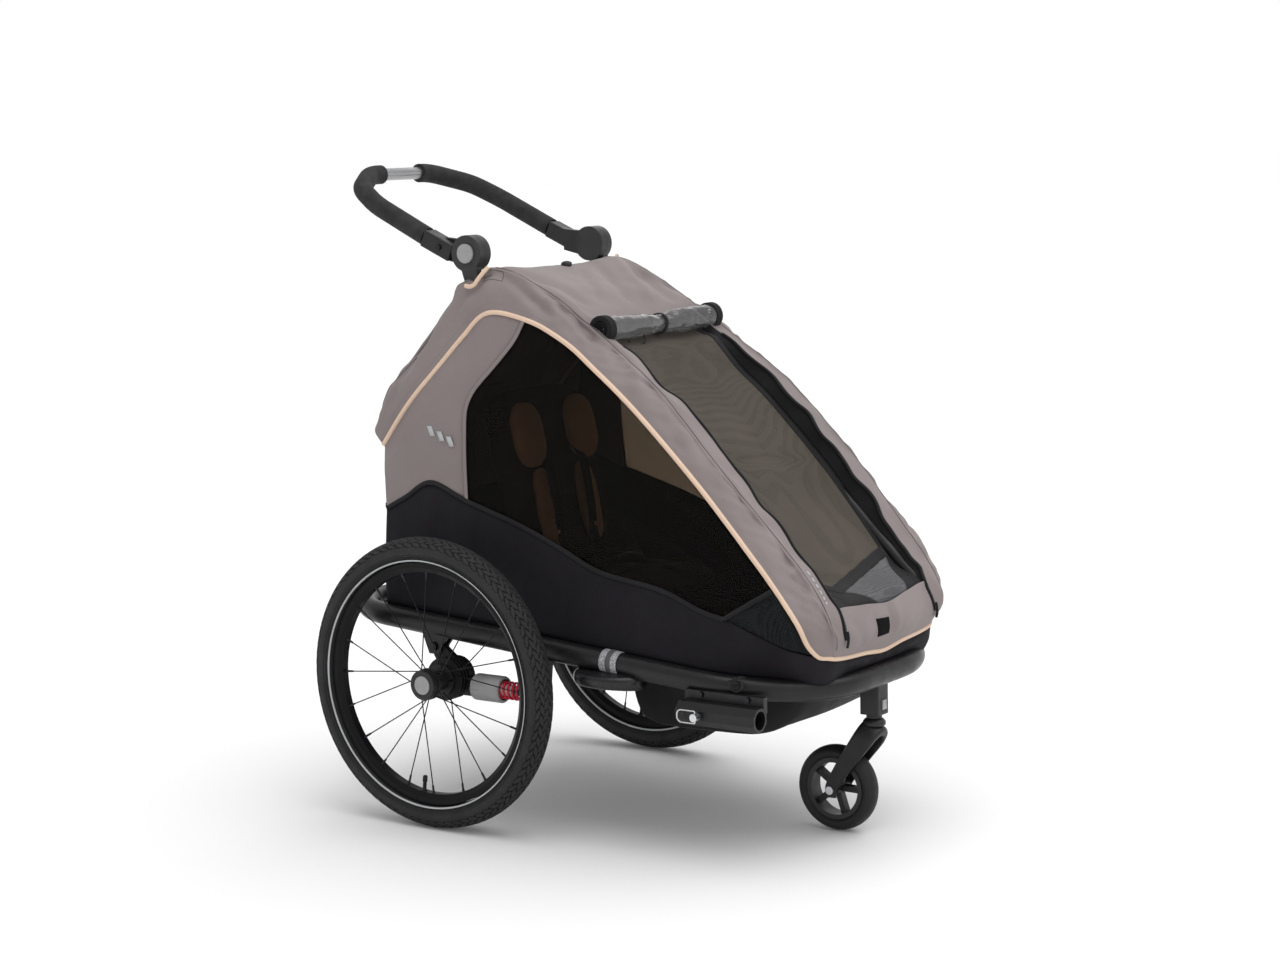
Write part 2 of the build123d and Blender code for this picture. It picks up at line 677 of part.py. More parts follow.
# ---------------------------------------------------------------- fabric cabin
# Each station holds the ridge (x, z, half width) and the hood's lower edge (x, z, half width).
HOOD = [
    ((690, 328, 158), (676, 332, 184)),
    ((703, 362, 174), (671, 356, 210)),
    ((698, 393, 182), (661, 392, 231)),
    ((671, 440, 188), (637, 433, 240)),
    ((618, 504, 191), (585, 494, 241)),
    ((514, 618, 198), (479, 607, 234)),
    ((390, 742, 192), (360, 719, 227)),
    ((302, 802, 184), (270, 789, 222)),
    ((226, 857, 178), (220, 824, 219)),
    ((141, 910, 174), (145, 858, 217)),
    ((40, 947, 178), (57, 871, 216)),
    ((-34, 899, 178), (6, 831, 220)),
    ((-90, 830, 192), (-46, 780, 222)),
    ((-150, 744, 206), (-111, 714, 227)),
    ((-178, 682, 216), (-168, 654, 232)),
]
# Zip line on each side of the screen, by station: x, z, half width.
ZIP = {
    2: (690, 405, 144),
    3: (669, 436, 150),
    4: (623, 490, 151),
    5: (522, 609, 156),
    6: (396, 735, 157),
    7: (296, 808, 152),
}
ROLL_ROW = 7
HUB_ROW = 10


def hood_grid():
    """Grid across the hood at each station, from the right lower edge over the top to the left one."""
    rows = []
    for station, ((rx, rz, ry), (ex, ez, ey)) in enumerate(HOOD):
        ix, iz, iy = ZIP.get(station, (rx + 1, rz + 2, ry / 2))
        half = [
            (ex, ey, ez),
            ((ex + rx) / 2 + 5, (ey + ry) / 2 + 6, (ez + rz) / 2 + 5),
            (rx, ry, rz),
            (ix, iy, iz),
        ]
        middle = [(rx + 2, 0, rz + 3)]
        left = [(x, y, z) for x, y, z in reversed(half)]
        rows.append([(x, -y, z) for x, y, z in half] + middle + left)
    return rows


def hood():
    screen = {(i, j) for i in ZIP for j in (3, 4)} | {(ROLL_ROW, j) for j in (2, 5)}
    hubs = {(HUB_ROW, j) for j in (1, 2, 5, 6)}
    return sheet(hood_grid(), FABRIC, screen | hubs)


nodes["canopy"] = hood()


def front_screen():
    line = [(232, 822), (256, 815), (294, 801), (391, 729), (517, 603), (618, 484), (664, 432), (683, 408)]
    width = [138, 141, 145, 150, 149, 144, 142, 136]
    rows = [[(x, w * f, z) for f in (-1, -0.5, 0, 0.5, 1)] for (x, z), w in zip(line, width)]
    return sheet(rows, 1.5)


nodes["front_screen"] = front_screen()


def side_plate(points, side, thickness=FABRIC):
    """Flat panel in the leaning side of the cabin, outlined by its X and Z."""
    plane = Plane(origin=(0, side * SIDE_Y, SIDE_Z), x_dir=(1, 0, 0), z_dir=(0, side, SIDE_LEAN))
    stretch = math.hypot(1, SIDE_LEAN)
    local = [(x, -side * (z - SIDE_Z) * stretch) for x, z in points]
    face = plane * make_face(Polyline(*local, close=True))
    return extrude(face, amount=thickness / 2, both=True)


BELT = [(-59, 579), (16, 549), (129, 517), (213, 485), (295, 451), (415, 431), (493, 402), (560, 384)]
REAR_TOP = (-160, 527)
EDGE_GAP = 4.0


def skirt(side):
    bottom = [(600, ring_z(600) + 21.5), (-158, ring_z(-158) + 21.5)]
    return side_plate([REAR_TOP] + BELT + [(640, 395)] + bottom, side)


def side_panel(side):
    top = [(-166, 648), (-46, 772), (8, 824), (57, 862), (84, 864), (88, 852)]
    window_edge = [(22, 724), (10, 654), (14, 561)]
    low = [(-59, 579 + EDGE_GAP), (REAR_TOP[0] - 2, REAR_TOP[1] + EDGE_GAP)]
    return side_plate(top + window_edge + low, side)


def side_window(side):
    hood_line = [(94, 858), (140, 848), (200, 822), (262, 780), (352, 708)]
    hood_line += [(470, 598), (575, 487), (622, 430)]
    low = [(x, z + EDGE_GAP) for x, z in reversed(BELT[1:])]
    rear = [(16, 654), (28, 722)]
    return side_plate(hood_line + low + rear, side, 1.5)


nodes["side_skirts"] = both(skirt)
nodes["side_panels"] = both(side_panel)
nodes["side_windows"] = both(side_window)


def rear_panel():
    rows = []
    for x, z, half in ((-173, 672, 212), (-176, 600, 222), (-170, 500, 228), (-163, 366, 234)):
        rows.append([(x - 4 * (1 - f * f), half * f, z) for f in (-1, -0.5, 0, 0.5, 1)])
    return sheet(rows, FABRIC)


nodes["rear_panel"] = rear_panel()

ROLL_X, ROLL_Z = 256.0, 844.0
roll = [cyl_y(ROLL_X, y0, y1, ROLL_Z, r) for y0, y1, r in ((-171, -161, 25), (-161, 161, 22), (161, 171, 25))]
nodes["rain_cover_roll"] = Compound([piece.solids()[0] for piece in roll])

if __name__ == "__main__":
    for name, shape in nodes.items():
        export_step(Pos(-MID_X, 0, 0) * shape, "parts/" + name + ".step")
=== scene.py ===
import math

import bmesh
import bpy
import numpy as np
from mathutils import Matrix, Vector, noise


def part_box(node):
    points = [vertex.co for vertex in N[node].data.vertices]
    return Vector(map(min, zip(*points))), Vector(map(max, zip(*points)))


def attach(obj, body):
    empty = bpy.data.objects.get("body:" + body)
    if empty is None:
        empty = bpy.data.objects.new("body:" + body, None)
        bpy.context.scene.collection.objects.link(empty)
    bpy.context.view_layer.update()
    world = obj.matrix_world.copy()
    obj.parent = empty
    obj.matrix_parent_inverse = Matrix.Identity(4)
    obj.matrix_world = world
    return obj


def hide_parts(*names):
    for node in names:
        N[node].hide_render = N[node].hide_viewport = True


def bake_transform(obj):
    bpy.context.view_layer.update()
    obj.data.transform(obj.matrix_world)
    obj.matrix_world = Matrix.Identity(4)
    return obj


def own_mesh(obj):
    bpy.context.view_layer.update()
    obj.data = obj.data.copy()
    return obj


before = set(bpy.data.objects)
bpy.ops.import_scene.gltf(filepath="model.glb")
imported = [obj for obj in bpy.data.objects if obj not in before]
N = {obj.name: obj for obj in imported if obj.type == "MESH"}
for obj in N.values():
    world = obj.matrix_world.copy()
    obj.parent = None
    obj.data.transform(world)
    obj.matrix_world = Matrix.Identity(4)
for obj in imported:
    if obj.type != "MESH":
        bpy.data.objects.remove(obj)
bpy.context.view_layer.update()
MM = 0.001

# The rear axle and the ground, read from the frame: outlines below are in millimetres from there.
axle_low, axle_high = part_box("axle_right")
AXLE_X = (axle_low.x + axle_high.x) / 2
SIDES = (("right", -1), ("left", 1))


def place(points):
    """Points given in millimetres from the rear axle's middle on the ground, in the row frame's metres."""
    return np.array(points, float) * MM + np.array([AXLE_X, 0, 0])


# ---------------------------------------------------------------- materials
def material(name, colour, rough=0.6, metal=0.0, **extra):
    m = bpy.data.materials.new(name)
    m.use_nodes = True
    b = m.node_tree.nodes["Principled BSDF"]
    b.inputs["Base Color"].default_value = (*colour, 1)
    b.inputs["Roughness"].default_value = rough
    b.inputs["Metallic"].default_value = metal
    for key, value in extra.items():
        b.inputs[key].default_value = value
    return m


def node(m, kind, **values):
    n = m.node_tree.nodes.new(kind)
    for key, value in values.items():
        if key in n.inputs:
            n.inputs[key].default_value = value
        else:
            setattr(n, key, value)
    return n


GLOSS = "Specular IOR Level"


def link(m, a, b):
    m.node_tree.links.new(a, b)


def shader(m):
    return m.node_tree.nodes["Principled BSDF"]


def coords(m, scale=(1, 1, 1), rotation=(0, 0, 0)):
    c = node(m, "ShaderNodeTexCoord")
    mapping = node(m, "ShaderNodeMapping")
    mapping.inputs["Scale"].default_value = scale
    mapping.inputs["Rotation"].default_value = rotation
    link(m, c.outputs["Object"], mapping.inputs["Vector"])
    return mapping.outputs["Vector"]


def add_bump(m, height, strength, distance):
    """A bump on the shader, on top of any bump that is there."""
    b = node(m, "ShaderNodeBump", Strength=strength, Distance=distance)
    link(m, height, b.inputs["Height"])
    normal = shader(m).inputs["Normal"]
    if normal.is_linked:
        link(m, normal.links[0].from_socket, b.inputs["Normal"])
    link(m, b.outputs["Normal"], normal)


def combine(m, operation, a, b):
    both = node(m, "ShaderNodeMath", operation=operation)
    link(m, a, both.inputs[0])
    link(m, b, both.inputs[1])
    return both.outputs[0]


def bands(m, direction, scale, rotation, **values):
    """Parallel threads across a direction, as a height."""
    w = node(m, "ShaderNodeTexWave", Scale=scale, **values)
    w.wave_type = "BANDS"
    w.bands_direction = direction
    link(m, coords(m, rotation=rotation), w.inputs["Vector"])
    return w.outputs["Fac"]


def cell_tex(m, scale):
    cells = node(m, "ShaderNodeTexVoronoi", Scale=scale)
    link(m, coords(m), cells.inputs["Vector"])
    return cells.outputs["Distance"]


def noise_tex(m, scale, detail=3.0, vector=None, roughness=0.5):
    n = node(m, "ShaderNodeTexNoise", Scale=scale, Detail=detail, Roughness=roughness)
    link(m, vector if vector else coords(m), n.inputs["Vector"])
    return n.outputs["Fac"]


def ramp(m, fac, stops):
    r = node(m, "ShaderNodeValToRGB")
    link(m, fac, r.inputs["Fac"])
    elements = r.color_ramp.elements
    while len(elements) < len(stops):
        elements.new(0.5)
    for e, (pos, value) in zip(elements, stops):
        e.position = pos
        e.color = (*value, 1) if hasattr(value, "__len__") else (value, value, value, 1)
    return r.outputs["Color"]


def vary_colour(m, colour, amount, scale, detail=4.0):
    """Soft changes of the colour over the surface."""
    low = tuple(c * (1 - amount) for c in colour)
    high = tuple(min(1, c * (1 + amount)) for c in colour)
    link(m, ramp(m, noise_tex(m, scale, detail), [(0.3, low), (0.7, high)]), shader(m).inputs["Base Color"])


def vary_rough(m, low, high, scale):
    link(m, ramp(m, noise_tex(m, scale, 3), [(0.3, low), (0.7, high)]), shader(m).inputs["Roughness"])


def weave(m, threads, strength, distance):
    """Two crossed sets of threads, threads to the metre, as one height."""
    quarter = math.pi / 2
    heights = [bands(m, "X", threads * math.pi / 10, turn, Distortion=0.6, Detail=1.0)
               for turn in ((0, 0, 0), (0, quarter, 0), (0, 0, quarter))]
    crossed = combine(m, "MULTIPLY", heights[0], heights[1])
    add_bump(m, combine(m, "ADD", crossed, heights[2]), strength, distance)


def cloth(name, colour, threads=1400, rough=0.85, sheen=0.25, amount=0.1, crease=0.25, gloss=0.3):
    m = material(name, colour, rough, **{GLOSS: gloss, "Sheen Weight": sheen, "Sheen Roughness": 0.5})
    vary_colour(m, colour, amount, 7.0, 6)
    vary_rough(m, rough - 0.08, min(1, rough + 0.06), 18)
    weave(m, threads, 0.3, 0.0002)
    add_bump(m, noise_tex(m, 26, 5, roughness=0.6), crease, 0.004)
    return m


def moulded(name, colour, rough=0.45, grain=900, edge_highlight=0.0, gloss=0.4):
    m = material(name, colour, rough, **{GLOSS: gloss})
    vary_colour(m, colour, 0.12, 30)
    vary_rough(m, rough - 0.07, rough + 0.1, 45)
    add_bump(m, noise_tex(m, grain, 2), 0.25, 0.0002)
    # Some mouldings get a painted highlight on their sharp edges.
    if edge_highlight:
        painted_edge_highlight(m, edge_highlight)
    return m


def painted_edge_highlight(m, strength):
    """Painted highlight: a lighter colour on the edges where the surface turns sharply."""
    g = node(m, "ShaderNodeNewGeometry")
    highlight_mask = ramp(m, g.outputs["Pointiness"], [(0.52, 0.0), (0.6, strength)])
    mix = node(m, "ShaderNodeMix", data_type="RGBA")
    base = shader(m).inputs["Base Color"]
    if base.is_linked:
        link(m, base.links[0].from_socket, mix.inputs[6])
    else:
        mix.inputs[6].default_value = base.default_value
    # The lighter grey painted on the edges as a highlight.
    mix.inputs[7].default_value = (0.12, 0.12, 0.125, 1)
    link(m, highlight_mask, mix.inputs[0])
    link(m, mix.outputs[2], base)


def metal(name, colour, rough=0.28, brushed=True):
    m = material(name, colour, rough, 1.0)
    if brushed:
        streaks = noise_tex(m, 1.0, 3, coords(m, (900, 12, 900)))
        link(m, ramp(m, streaks, [(0.3, rough - 0.08), (0.7, rough + 0.14)]), shader(m).inputs["Roughness"])
        add_bump(m, streaks, 0.08, 0.0001)
    vary_colour(m, colour, 0.06, 40)
    return m


# Each row is what the function of its table takes.
CLOTHS = {
    "taupe": ("taupe_canopy", (0.225, 0.190, 0.187), 1500, 0.72, 0.12, 0.07, 0.22),
    "skirt": ("black_ripstop", (0.0085, 0.0072, 0.0100), 1300, 0.7, 0.0, 0.2, 0.3, 0.16),
    "piping": ("peach_piping", (0.72, 0.53, 0.40), 2600, 0.75, 0.1, 0.05, 0.1),
    "webbing": ("black_webbing", (0.012, 0.012, 0.013), 700, 0.8, 0.05, 0.2, 0.1, 0.2),
    "seat": ("seat_cloth", (0.042, 0.035, 0.036), 900, 0.9, 0.1, 0.15, 0.2, 0.2),
    "tan": ("tan_padding", (0.90, 0.58, 0.40), 900, 0.88, 0.1, 0.12, 0.25, 0.2),
    "binding": ("black_binding", (0.011, 0.0105, 0.012), 1800, 0.75, 0.05, 0.2, 0.15, 0.2),
    "seam": ("taupe_seam", (0.06, 0.05, 0.05), 1500, 0.8, 0.1, 0.1, 0.1),
    "thread": ("taupe_thread", (0.17, 0.145, 0.142), 4000, 0.8, 0.1, 0.1, 0.05),
    "tub": ("coated_tub_cloth", (0.006, 0.006, 0.007), 1000, 0.6, 0.0, 0.2, 0.3, 0.18),
    "band_grey": ("grey_band", (0.075, 0.075, 0.078), 900, 0.6, 0.1, 0.2, 0.1),
    "velcro": ("hook_and_loop", (0.004, 0.004, 0.0045), 500, 0.95, 0.0, 0.2, 0.3, 0.1),
}
# Moulding rows: name, colour, roughness, grain, strength of the highlight painted on sharp edges, and gloss.
MOULDINGS = {
    "frame": ("black_powder_coat", (0.0075, 0.0075, 0.0085), 0.34, 1600, 0.0, 0.35),
    "plastic": ("black_moulding", (0.0105, 0.0108, 0.012), 0.42, 1100, 0.12, 0.35),
    "arm": ("glass_filled_black", (0.006, 0.006, 0.0065), 0.5, 700, 0.1, 0.25),
    "grey": ("grey_moulding", (0.30, 0.30, 0.305), 0.4, 1200),
    "bumper": ("satin_bumper", (0.009, 0.009, 0.0105), 0.3, 1500, 0.0, 0.4),
    "spring": ("crimson_coil", (0.56, 0.012, 0.045), 0.24, 1500),
    "guide": ("spring_guide_white", (0.55, 0.5, 0.5), 0.4, 1200),
    "rim": ("black_anodised_rim", (0.004, 0.004, 0.005), 0.4, 1800, 0.0, 0.15),
    "tyre": ("tyre_rubber", (0.021, 0.021, 0.0225), 0.68, 500, 0.0, 0.28),
    # Darker rubber for the tread's grooves: painted shade in its recesses.
    "groove": ("tread_groove", (0.012, 0.012, 0.0125), 0.8, 500, 0.0, 0.1),
    "caster_tyre": ("caster_rubber", (0.012, 0.012, 0.013), 0.55, 600, 0.0, 0.28),
    "stripe": ("reflective_line", (0.42, 0.43, 0.44), 0.35, 2500),
    "zip": ("zip_coil", (0.010, 0.010, 0.011), 0.4, 3000, 0.0, 0.3),
    "rubber_cap": ("valve_rubber", (0.008, 0.008, 0.008), 0.5, 1500, 0.0, 0.3),
}
METALS = {
    "steel": ("zinc_steel", (0.62, 0.63, 0.65), 0.28),
    "dark_steel": ("blackened_steel", (0.035, 0.035, 0.04), 0.36, False),
    "silver": ("brushed_silver", (0.36, 0.36, 0.37), 0.33),
    "spoke": ("black_spoke", (0.02, 0.02, 0.022), 0.3, False),
}
M = {}
for table, finish in ((CLOTHS, cloth), (MOULDINGS, moulded), (METALS, metal)):
    for key, values in table.items():
        M[key] = finish(*values)


def foam():
    colour = (0.030, 0.030, 0.031)
    m = material("grip_foam", colour, 0.85, **{GLOSS: 0.2})
    add_bump(m, cell_tex(m, 900.0), 0.4, 0.0005)
    vary_colour(m, colour, 0.25, 60)
    return m


def clear_film():
    """The rolled rain cover's film, with soft waves in its gloss."""
    m = material("clear_film", (0.12, 0.12, 0.125), 0.12, **{"Alpha": 0.55, GLOSS: 0.6, "Coat Weight": 0.5})
    add_bump(m, noise_tex(m, 16, 3), 0.35, 0.006)
    return m


FILM_SHEEN = 0.06


def tinted_film(name, colour):
    """Clear window film: it tints what is behind it and mirrors a little, with soft waves."""
    m = material(name, (0.008, 0.007, 0.006), 0.06, **{GLOSS: 0.85})
    add_bump(m, noise_tex(m, 7, 3), 0.12, 0.004)
    clear = node(m, "ShaderNodeBsdfTransparent")
    clear.inputs["Color"].default_value = tuple(c / (1 - FILM_SHEEN) for c in colour) + (1.0,)
    both = node(m, "ShaderNodeMixShader")
    both.inputs[0].default_value = FILM_SHEEN
    link(m, clear.outputs[0], both.inputs[1])
    link(m, shader(m).outputs[0], both.inputs[2])
    out = next(n for n in m.node_tree.nodes if n.type == "OUTPUT_MATERIAL")
    link(m, both.outputs[0], out.inputs["Surface"])
    return m


def mesh_cloth(name, colour, low, high):
    """Insect mesh: fine holes between threads, closer than the eye resolves at arm's length."""
    m = material(name, colour, 0.8, **{GLOSS: 0.15})
    threads = [ramp(m, bands(m, "Y", 165.0, (0, turn * 0.45, turn)), [(0.35, 0.0), (0.62, 1.0)])
               for turn in (0, math.pi / 2)]
    both = combine(m, "MAXIMUM", *threads)
    opacity = node(m, "ShaderNodeMapRange")
    opacity.inputs["To Min"].default_value = low
    opacity.inputs["To Max"].default_value = high
    link(m, both, opacity.inputs["Value"])
    link(m, opacity.outputs["Result"], shader(m).inputs["Alpha"])
    vary_colour(m, colour, 0.18, 5)
    add_bump(m, both, 0.4, 0.0004)
    return m


def reflective():
    m = material("reflective_strap", (0.30, 0.31, 0.32), 0.5)
    beads = cell_tex(m, 420.0)
    speckle = ramp(m, beads, [(0.1, (0.55, 0.56, 0.57)), (0.6, (0.2, 0.2, 0.21))])
    link(m, speckle, shader(m).inputs["Base Color"])
    add_bump(m, beads, 0.3, 0.0005)
    return m


M["foam"] = foam()
M["window"] = tinted_film("tinted_window", (0.47, 0.432, 0.39))
M["film"] = clear_film()
M["mesh"] = mesh_cloth("insect_mesh", (0.078, 0.066, 0.055), 0.8, 0.98)
M["side_net"] = mesh_cloth("side_mesh", (0.010, 0.011, 0.012), 0.6, 0.95)
M["grey_net"] = mesh_cloth("grey_mesh", (0.13, 0.13, 0.135), 0.5, 0.9)
M["reflective"] = reflective()


# ---------------------------------------------------------------- mesh helpers, in millimetres
def make(name, verts, faces, mat, body="chassis"):
    """A mesh piece; its points are in millimetres from the rear axle."""
    mesh = bpy.data.meshes.new(name)
    mesh.from_pydata(place(verts).tolist(), [], faces)
    mesh.update()
    obj = bpy.data.objects.new(name, mesh)
    bpy.context.scene.collection.objects.link(obj)
    obj.data.materials.append(M[mat])
    shade_smooth(mesh)
    if body:
        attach(obj, body)
    return obj


def shade_smooth(mesh):
    for p in mesh.polygons:
        p.use_smooth = True


def apply_modifier(obj, kind, **values):
    m = obj.modifiers.new(kind.lower(), kind)
    for key, value in values.items():
        setattr(m, key, value)
    graph = bpy.context.evaluated_depsgraph_get()
    mesh = bpy.data.meshes.new_from_object(obj.evaluated_get(graph))
    obj.modifiers.clear()
    obj.data = mesh
    return obj


def thicken(obj, thickness, offset=-1.0):
    return apply_modifier(obj, "SOLIDIFY", thickness=thickness * MM, offset=offset, use_even_offset=False)


def grid_faces(rows, cols, is_open=None, closed_rows=False, closed_cols=False):
    faces = []
    for i in range(rows if closed_rows else rows - 1):
        for j in range(cols if closed_cols else cols - 1):
            if is_open and is_open(i, j):
                continue
            i2, j2 = (i + 1) % rows, (j + 1) % cols
            faces.append((i * cols + j, i2 * cols + j, i2 * cols + j2, i * cols + j2))
    return faces


def surface(name, grid, mat, thickness=1.0, body="chassis", is_open=None, closed_cols=False):
    """A thin cloth through a fine grid of points."""
    g = np.array(grid, float)
    faces = grid_faces(*g.shape[:2], is_open=is_open, closed_cols=closed_cols)
    used = sorted({k for f in faces for k in f})
    index = {k: n for n, k in enumerate(used)}
    verts = g.reshape(-1, 3)[used]
    obj = make(name, verts, [tuple(index[k] for k in f) for f in faces], mat, body)
    return thicken(obj, thickness, 0.0) if thickness else obj


def catmull(points, n):
    """A smooth line through the points, n steps to each span."""
    p = np.array(points, float)
    p = np.concatenate([[2 * p[0] - p[1]], p, [2 * p[-1] - p[-2]]])
    out = []
    for i in range(1, len(p) - 2):
        a, b, c, d = p[i - 1 : i + 3]
        for t in np.arange(n) / n:
            cubic = 2 * b + (c - a) * t + (2 * a - 5 * b + 4 * c - d) * t**2 + (3 * b - a - 3 * c + d) * t**3
            out.append(cubic / 2)
    return np.array(out + [p[-2]])


def smooth_grid(control, n_rows, n_cols):
    """A surface through a grid of control points."""
    return catmull(catmull(np.array(control, float), n_rows).swapaxes(0, 1), n_cols).swapaxes(0, 1)


def normals_of(grid):
    n = np.cross(np.gradient(grid, axis=0), np.gradient(grid, axis=1))
    return n / np.maximum(np.linalg.norm(n, axis=2, keepdims=True), 1e-12)


def even(line, count):
    """The line again, as that many points at even distances."""
    line = np.array(line, float)
    run = np.r_[0, np.cumsum(np.linalg.norm(np.diff(line, axis=0), axis=1))]
    s = np.linspace(0, run[-1], count)
    return np.stack([np.interp(s, run, line[:, k]) for k in range(line.shape[1])], axis=1)


def smooth_line(points, count=120):
    return even(catmull(points, 12), count)


def ripple(u, v, seed):
    """Smooth noise from -1 to 1."""
    return noise.noise(Vector((u, v, seed)))


def rumple(grid, height, long, short, lean, seed, hem=0.0):
    """Folds that run askew over a grid: long and short are how many there are across it."""
    g = np.array(grid, float)
    normals = normals_of(g)
    rows, cols = g.shape[:2]
    for i in range(rows):
        for j in range(cols):
            u, v = i / (rows - 1), j / (cols - 1)
            fold = ripple((u + lean * v) * short, (v - lean * u) * long, seed)
            fold += 0.45 * ripple((u - lean * v) * short * 2.3, v * long * 2.1, seed + 9)
            edge = min(1.0, min(v, 1 - v) / hem) if hem else 1.0
            g[i, j] += normals[i, j] * height * fold * edge
    return g


def tube_along(name, line, radius, mat, body="chassis", sides=10, closed=False, flat=1.0, taper=None):
    """A round or flattened tube along a line; taper scales its radius by the share of the way along."""
    line = np.array(line, float)
    count = len(line)
    ahead = np.roll(line, -1, axis=0) if closed else np.vstack([line[1:], 2 * line[-1] - line[-2]])
    behind = np.roll(line, 1, axis=0) if closed else np.vstack([2 * line[0] - line[1], line[:-1]])
    tangents = ahead - behind
    tangents /= np.linalg.norm(tangents, axis=1, keepdims=True)
    side = np.cross(tangents[0], (0.31, 0.2, 0.93))
    verts = []
    for i, tangent in enumerate(tangents):
        side = side - tangent * np.dot(side, tangent)
        side /= np.linalg.norm(side)
        up = np.cross(tangent, side)
        r = radius * (taper(i / max(1, count - 1)) if taper else 1)
        for k in range(sides):
            a = 2 * math.pi * k / sides
            verts.append(line[i] + r * (math.cos(a) * side + flat * math.sin(a) * up))
    faces = grid_faces(count, sides, closed_rows=closed, closed_cols=True)
    if not closed:
        faces += [tuple(range(sides))[::-1], tuple((count - 1) * sides + k for k in range(sides))]
    return make(name, verts, faces, mat, body)


RIBBON_SECTION = ((-0.5, 0), (-0.44, 1), (0.44, 1), (0.5, 0), (0.44, -0.4), (-0.44, -0.4))


def ribbon(name, line, normals, width, thick, mat, body="chassis"):
    """A flat strip along a line, lying on the surface whose normals, or one normal, are given."""
    line = np.array(line, float)
    normals = np.broadcast_to(np.array(normals, float), line.shape)
    across = np.cross(np.gradient(line, axis=0), normals)
    across /= np.linalg.norm(across, axis=1, keepdims=True)
    verts = [
        p + a * width * u + n * thick * v
        for p, a, n in zip(line, across, normals)
        for u, v in RIBBON_SECTION
    ]
    count = len(RIBBON_SECTION)
    faces = grid_faces(len(line), count, closed_cols=True)
    faces += [tuple(range(count))[::-1], tuple((len(line) - 1) * count + k for k in range(count))]
    return make(name, verts, faces, mat, body)


def spun(name, profile, centre, mat, body, steps=64, axis="y"):
    """A ring turned from a closed profile of (distance from the axis, distance along it)."""
    verts = []
    for k in range(steps):
        a = 2 * math.pi * k / steps
        for r, t in profile:
            across, up = r * math.cos(a), r * math.sin(a)
            offset = (across, t, up) if axis == "y" else (t, across, up)
            verts.append(np.array(centre) + offset)
    return make(name, verts, grid_faces(steps, len(profile), closed_rows=True, closed_cols=True), mat, body)


def turned(name, profile, centre, mat, steps, body="chassis", up=(0, 0, 1), stretch=1.0):
    """A solid turned round an upright line, from a profile of (distance from it, height)."""
    verts = []
    for k in range(steps):
        a = 2 * math.pi * k / steps
        for r, t in profile:
            flat = np.array([r * math.cos(a) * stretch, r * math.sin(a), 0])
            verts.append(np.array(centre) + flat + np.array(up) * t)
    return make(name, verts, grid_faces(steps, len(profile), closed_rows=True), mat, body)


def join(objects, name):
    """One piece made of several that ride on the same body."""
    first = objects[0]
    with bpy.context.temp_override(active_object=first, selected_editable_objects=objects, object=first):
        bpy.ops.object.join()
    first.name = name
    return first


def mirrored(points, side):
    """Points drawn for the left, moved to a side."""
    return np.array(points, float) * np.array([1, side, 1])


FOLDING = []


def folds(obj):
    """Keeps the piece in the list of soft pieces, which later get a mesh of their own."""
    FOLDING.append(obj)
    return obj


# ---------------------------------------------------------------- CAD parts keep their shape
CAD_FINISH = {
    "frame": ["suspension_brackets", "base_frame", "cross_tubes", "hinge_brackets", "bow_hoop",
              "upright_tubes", "tow_socket"],
    "steel": ["fold_shaft", "caster_axle", "lock_pin", "pin_bail", "axle_right", "axle_left"],
    "dark_steel": ["frame_bolts", "handle_bolts", "d_ring"],
    "plastic": ["caster_stem", "hub_housings", "handle_blocks", "caster_bracket", "caster_fork",
                "caster_wheel", "hub_right", "hub_left"],
    "arm": ["swing_arm_right", "swing_arm_left"],
    "silver": ["handlebar_tube"],
    "foam": ["handle_grips"],
    "grey": ["handle_button_right", "handle_button_left", "axle_button_right", "axle_button_left",
             "spring_knob_right", "spring_knob_left", "caster_button"],
    "rim": ["rim_right", "rim_left"],
    "spoke": ["spokes_right", "spokes_left"],
    "caster_tyre": ["caster_tyre"],
}


def finish_cad():
    for finish, names in CAD_FINISH.items():
        for name in names:
            mesh = N[name].data
            mesh.materials.clear()
            mesh.materials.append(M[finish])
            shade_smooth(mesh)
            mesh.set_sharp_from_angle(angle=math.radians(32))


finish_cad()

# ---------------------------------------------------------------- the hood
# Each station holds the ridge (x, z, half width) and the lower edge (x, z, half width).
HOOD = [
    ((690, 328, 158), (676, 332, 184)),
    ((703, 362, 174), (671, 356, 210)),
    ((698, 393, 182), (666, 392, 231)),
    ((671, 440, 185), (642, 433, 240)),
    ((618, 504, 187), (591, 494, 241)),
    ((514, 618, 198), (482, 607, 234)),
    ((390, 742, 188), (360, 719, 227)),
    ((302, 806, 179), (270, 789, 222)),
    ((226, 858, 173), (220, 824, 219)),
    ((141, 910, 171), (145, 858, 217)),
    ((40, 945, 180), (57, 871, 216)),
    ((-34, 899, 182), (6, 831, 220)),
    ((-90, 830, 194), (-46, 780, 222)),
    ((-156, 742, 210), (-113, 712, 228)),
    ((-184, 681, 221), (-169, 637, 233)),
]
# The zip lines and the middle of the cloth where they don't follow from the ridge.
ZIP = {
    0: (690, 324, 120),
    1: (707, 358, 146),
    2: (690, 407, 144),
    3: (669, 436, 150),
    4: (623, 490, 151),
    5: (522, 610, 156),
    6: (396, 736, 157),
    7: (296, 810, 152),
    8: (228, 857, 150),
}
MIDDLE = {0: (690, 315), 1: (709, 356), 2: (699, 396)}
ROOF_SAG = 5.0
# How far the side band puffs out between ridge and edge, (x, half width, z), from a station on.
BAND_PUFF = {0: (2, 3, 2), 2: (1, 3, 2), 8: (1, 4, 3), 11: (-6, 5, 2), 12: (-9, 7, 2), 13: (-13, 10, 1),
             14: (-9, 7, 0)}
SCREEN_FROM, SCREEN_TO = 2, 8
ROW_STEPS, COL_STEPS = 22, 9
EDGE_COL, RIDGE_COL, ZIP_COL, LAST_COL = 0, 3, 4, 12


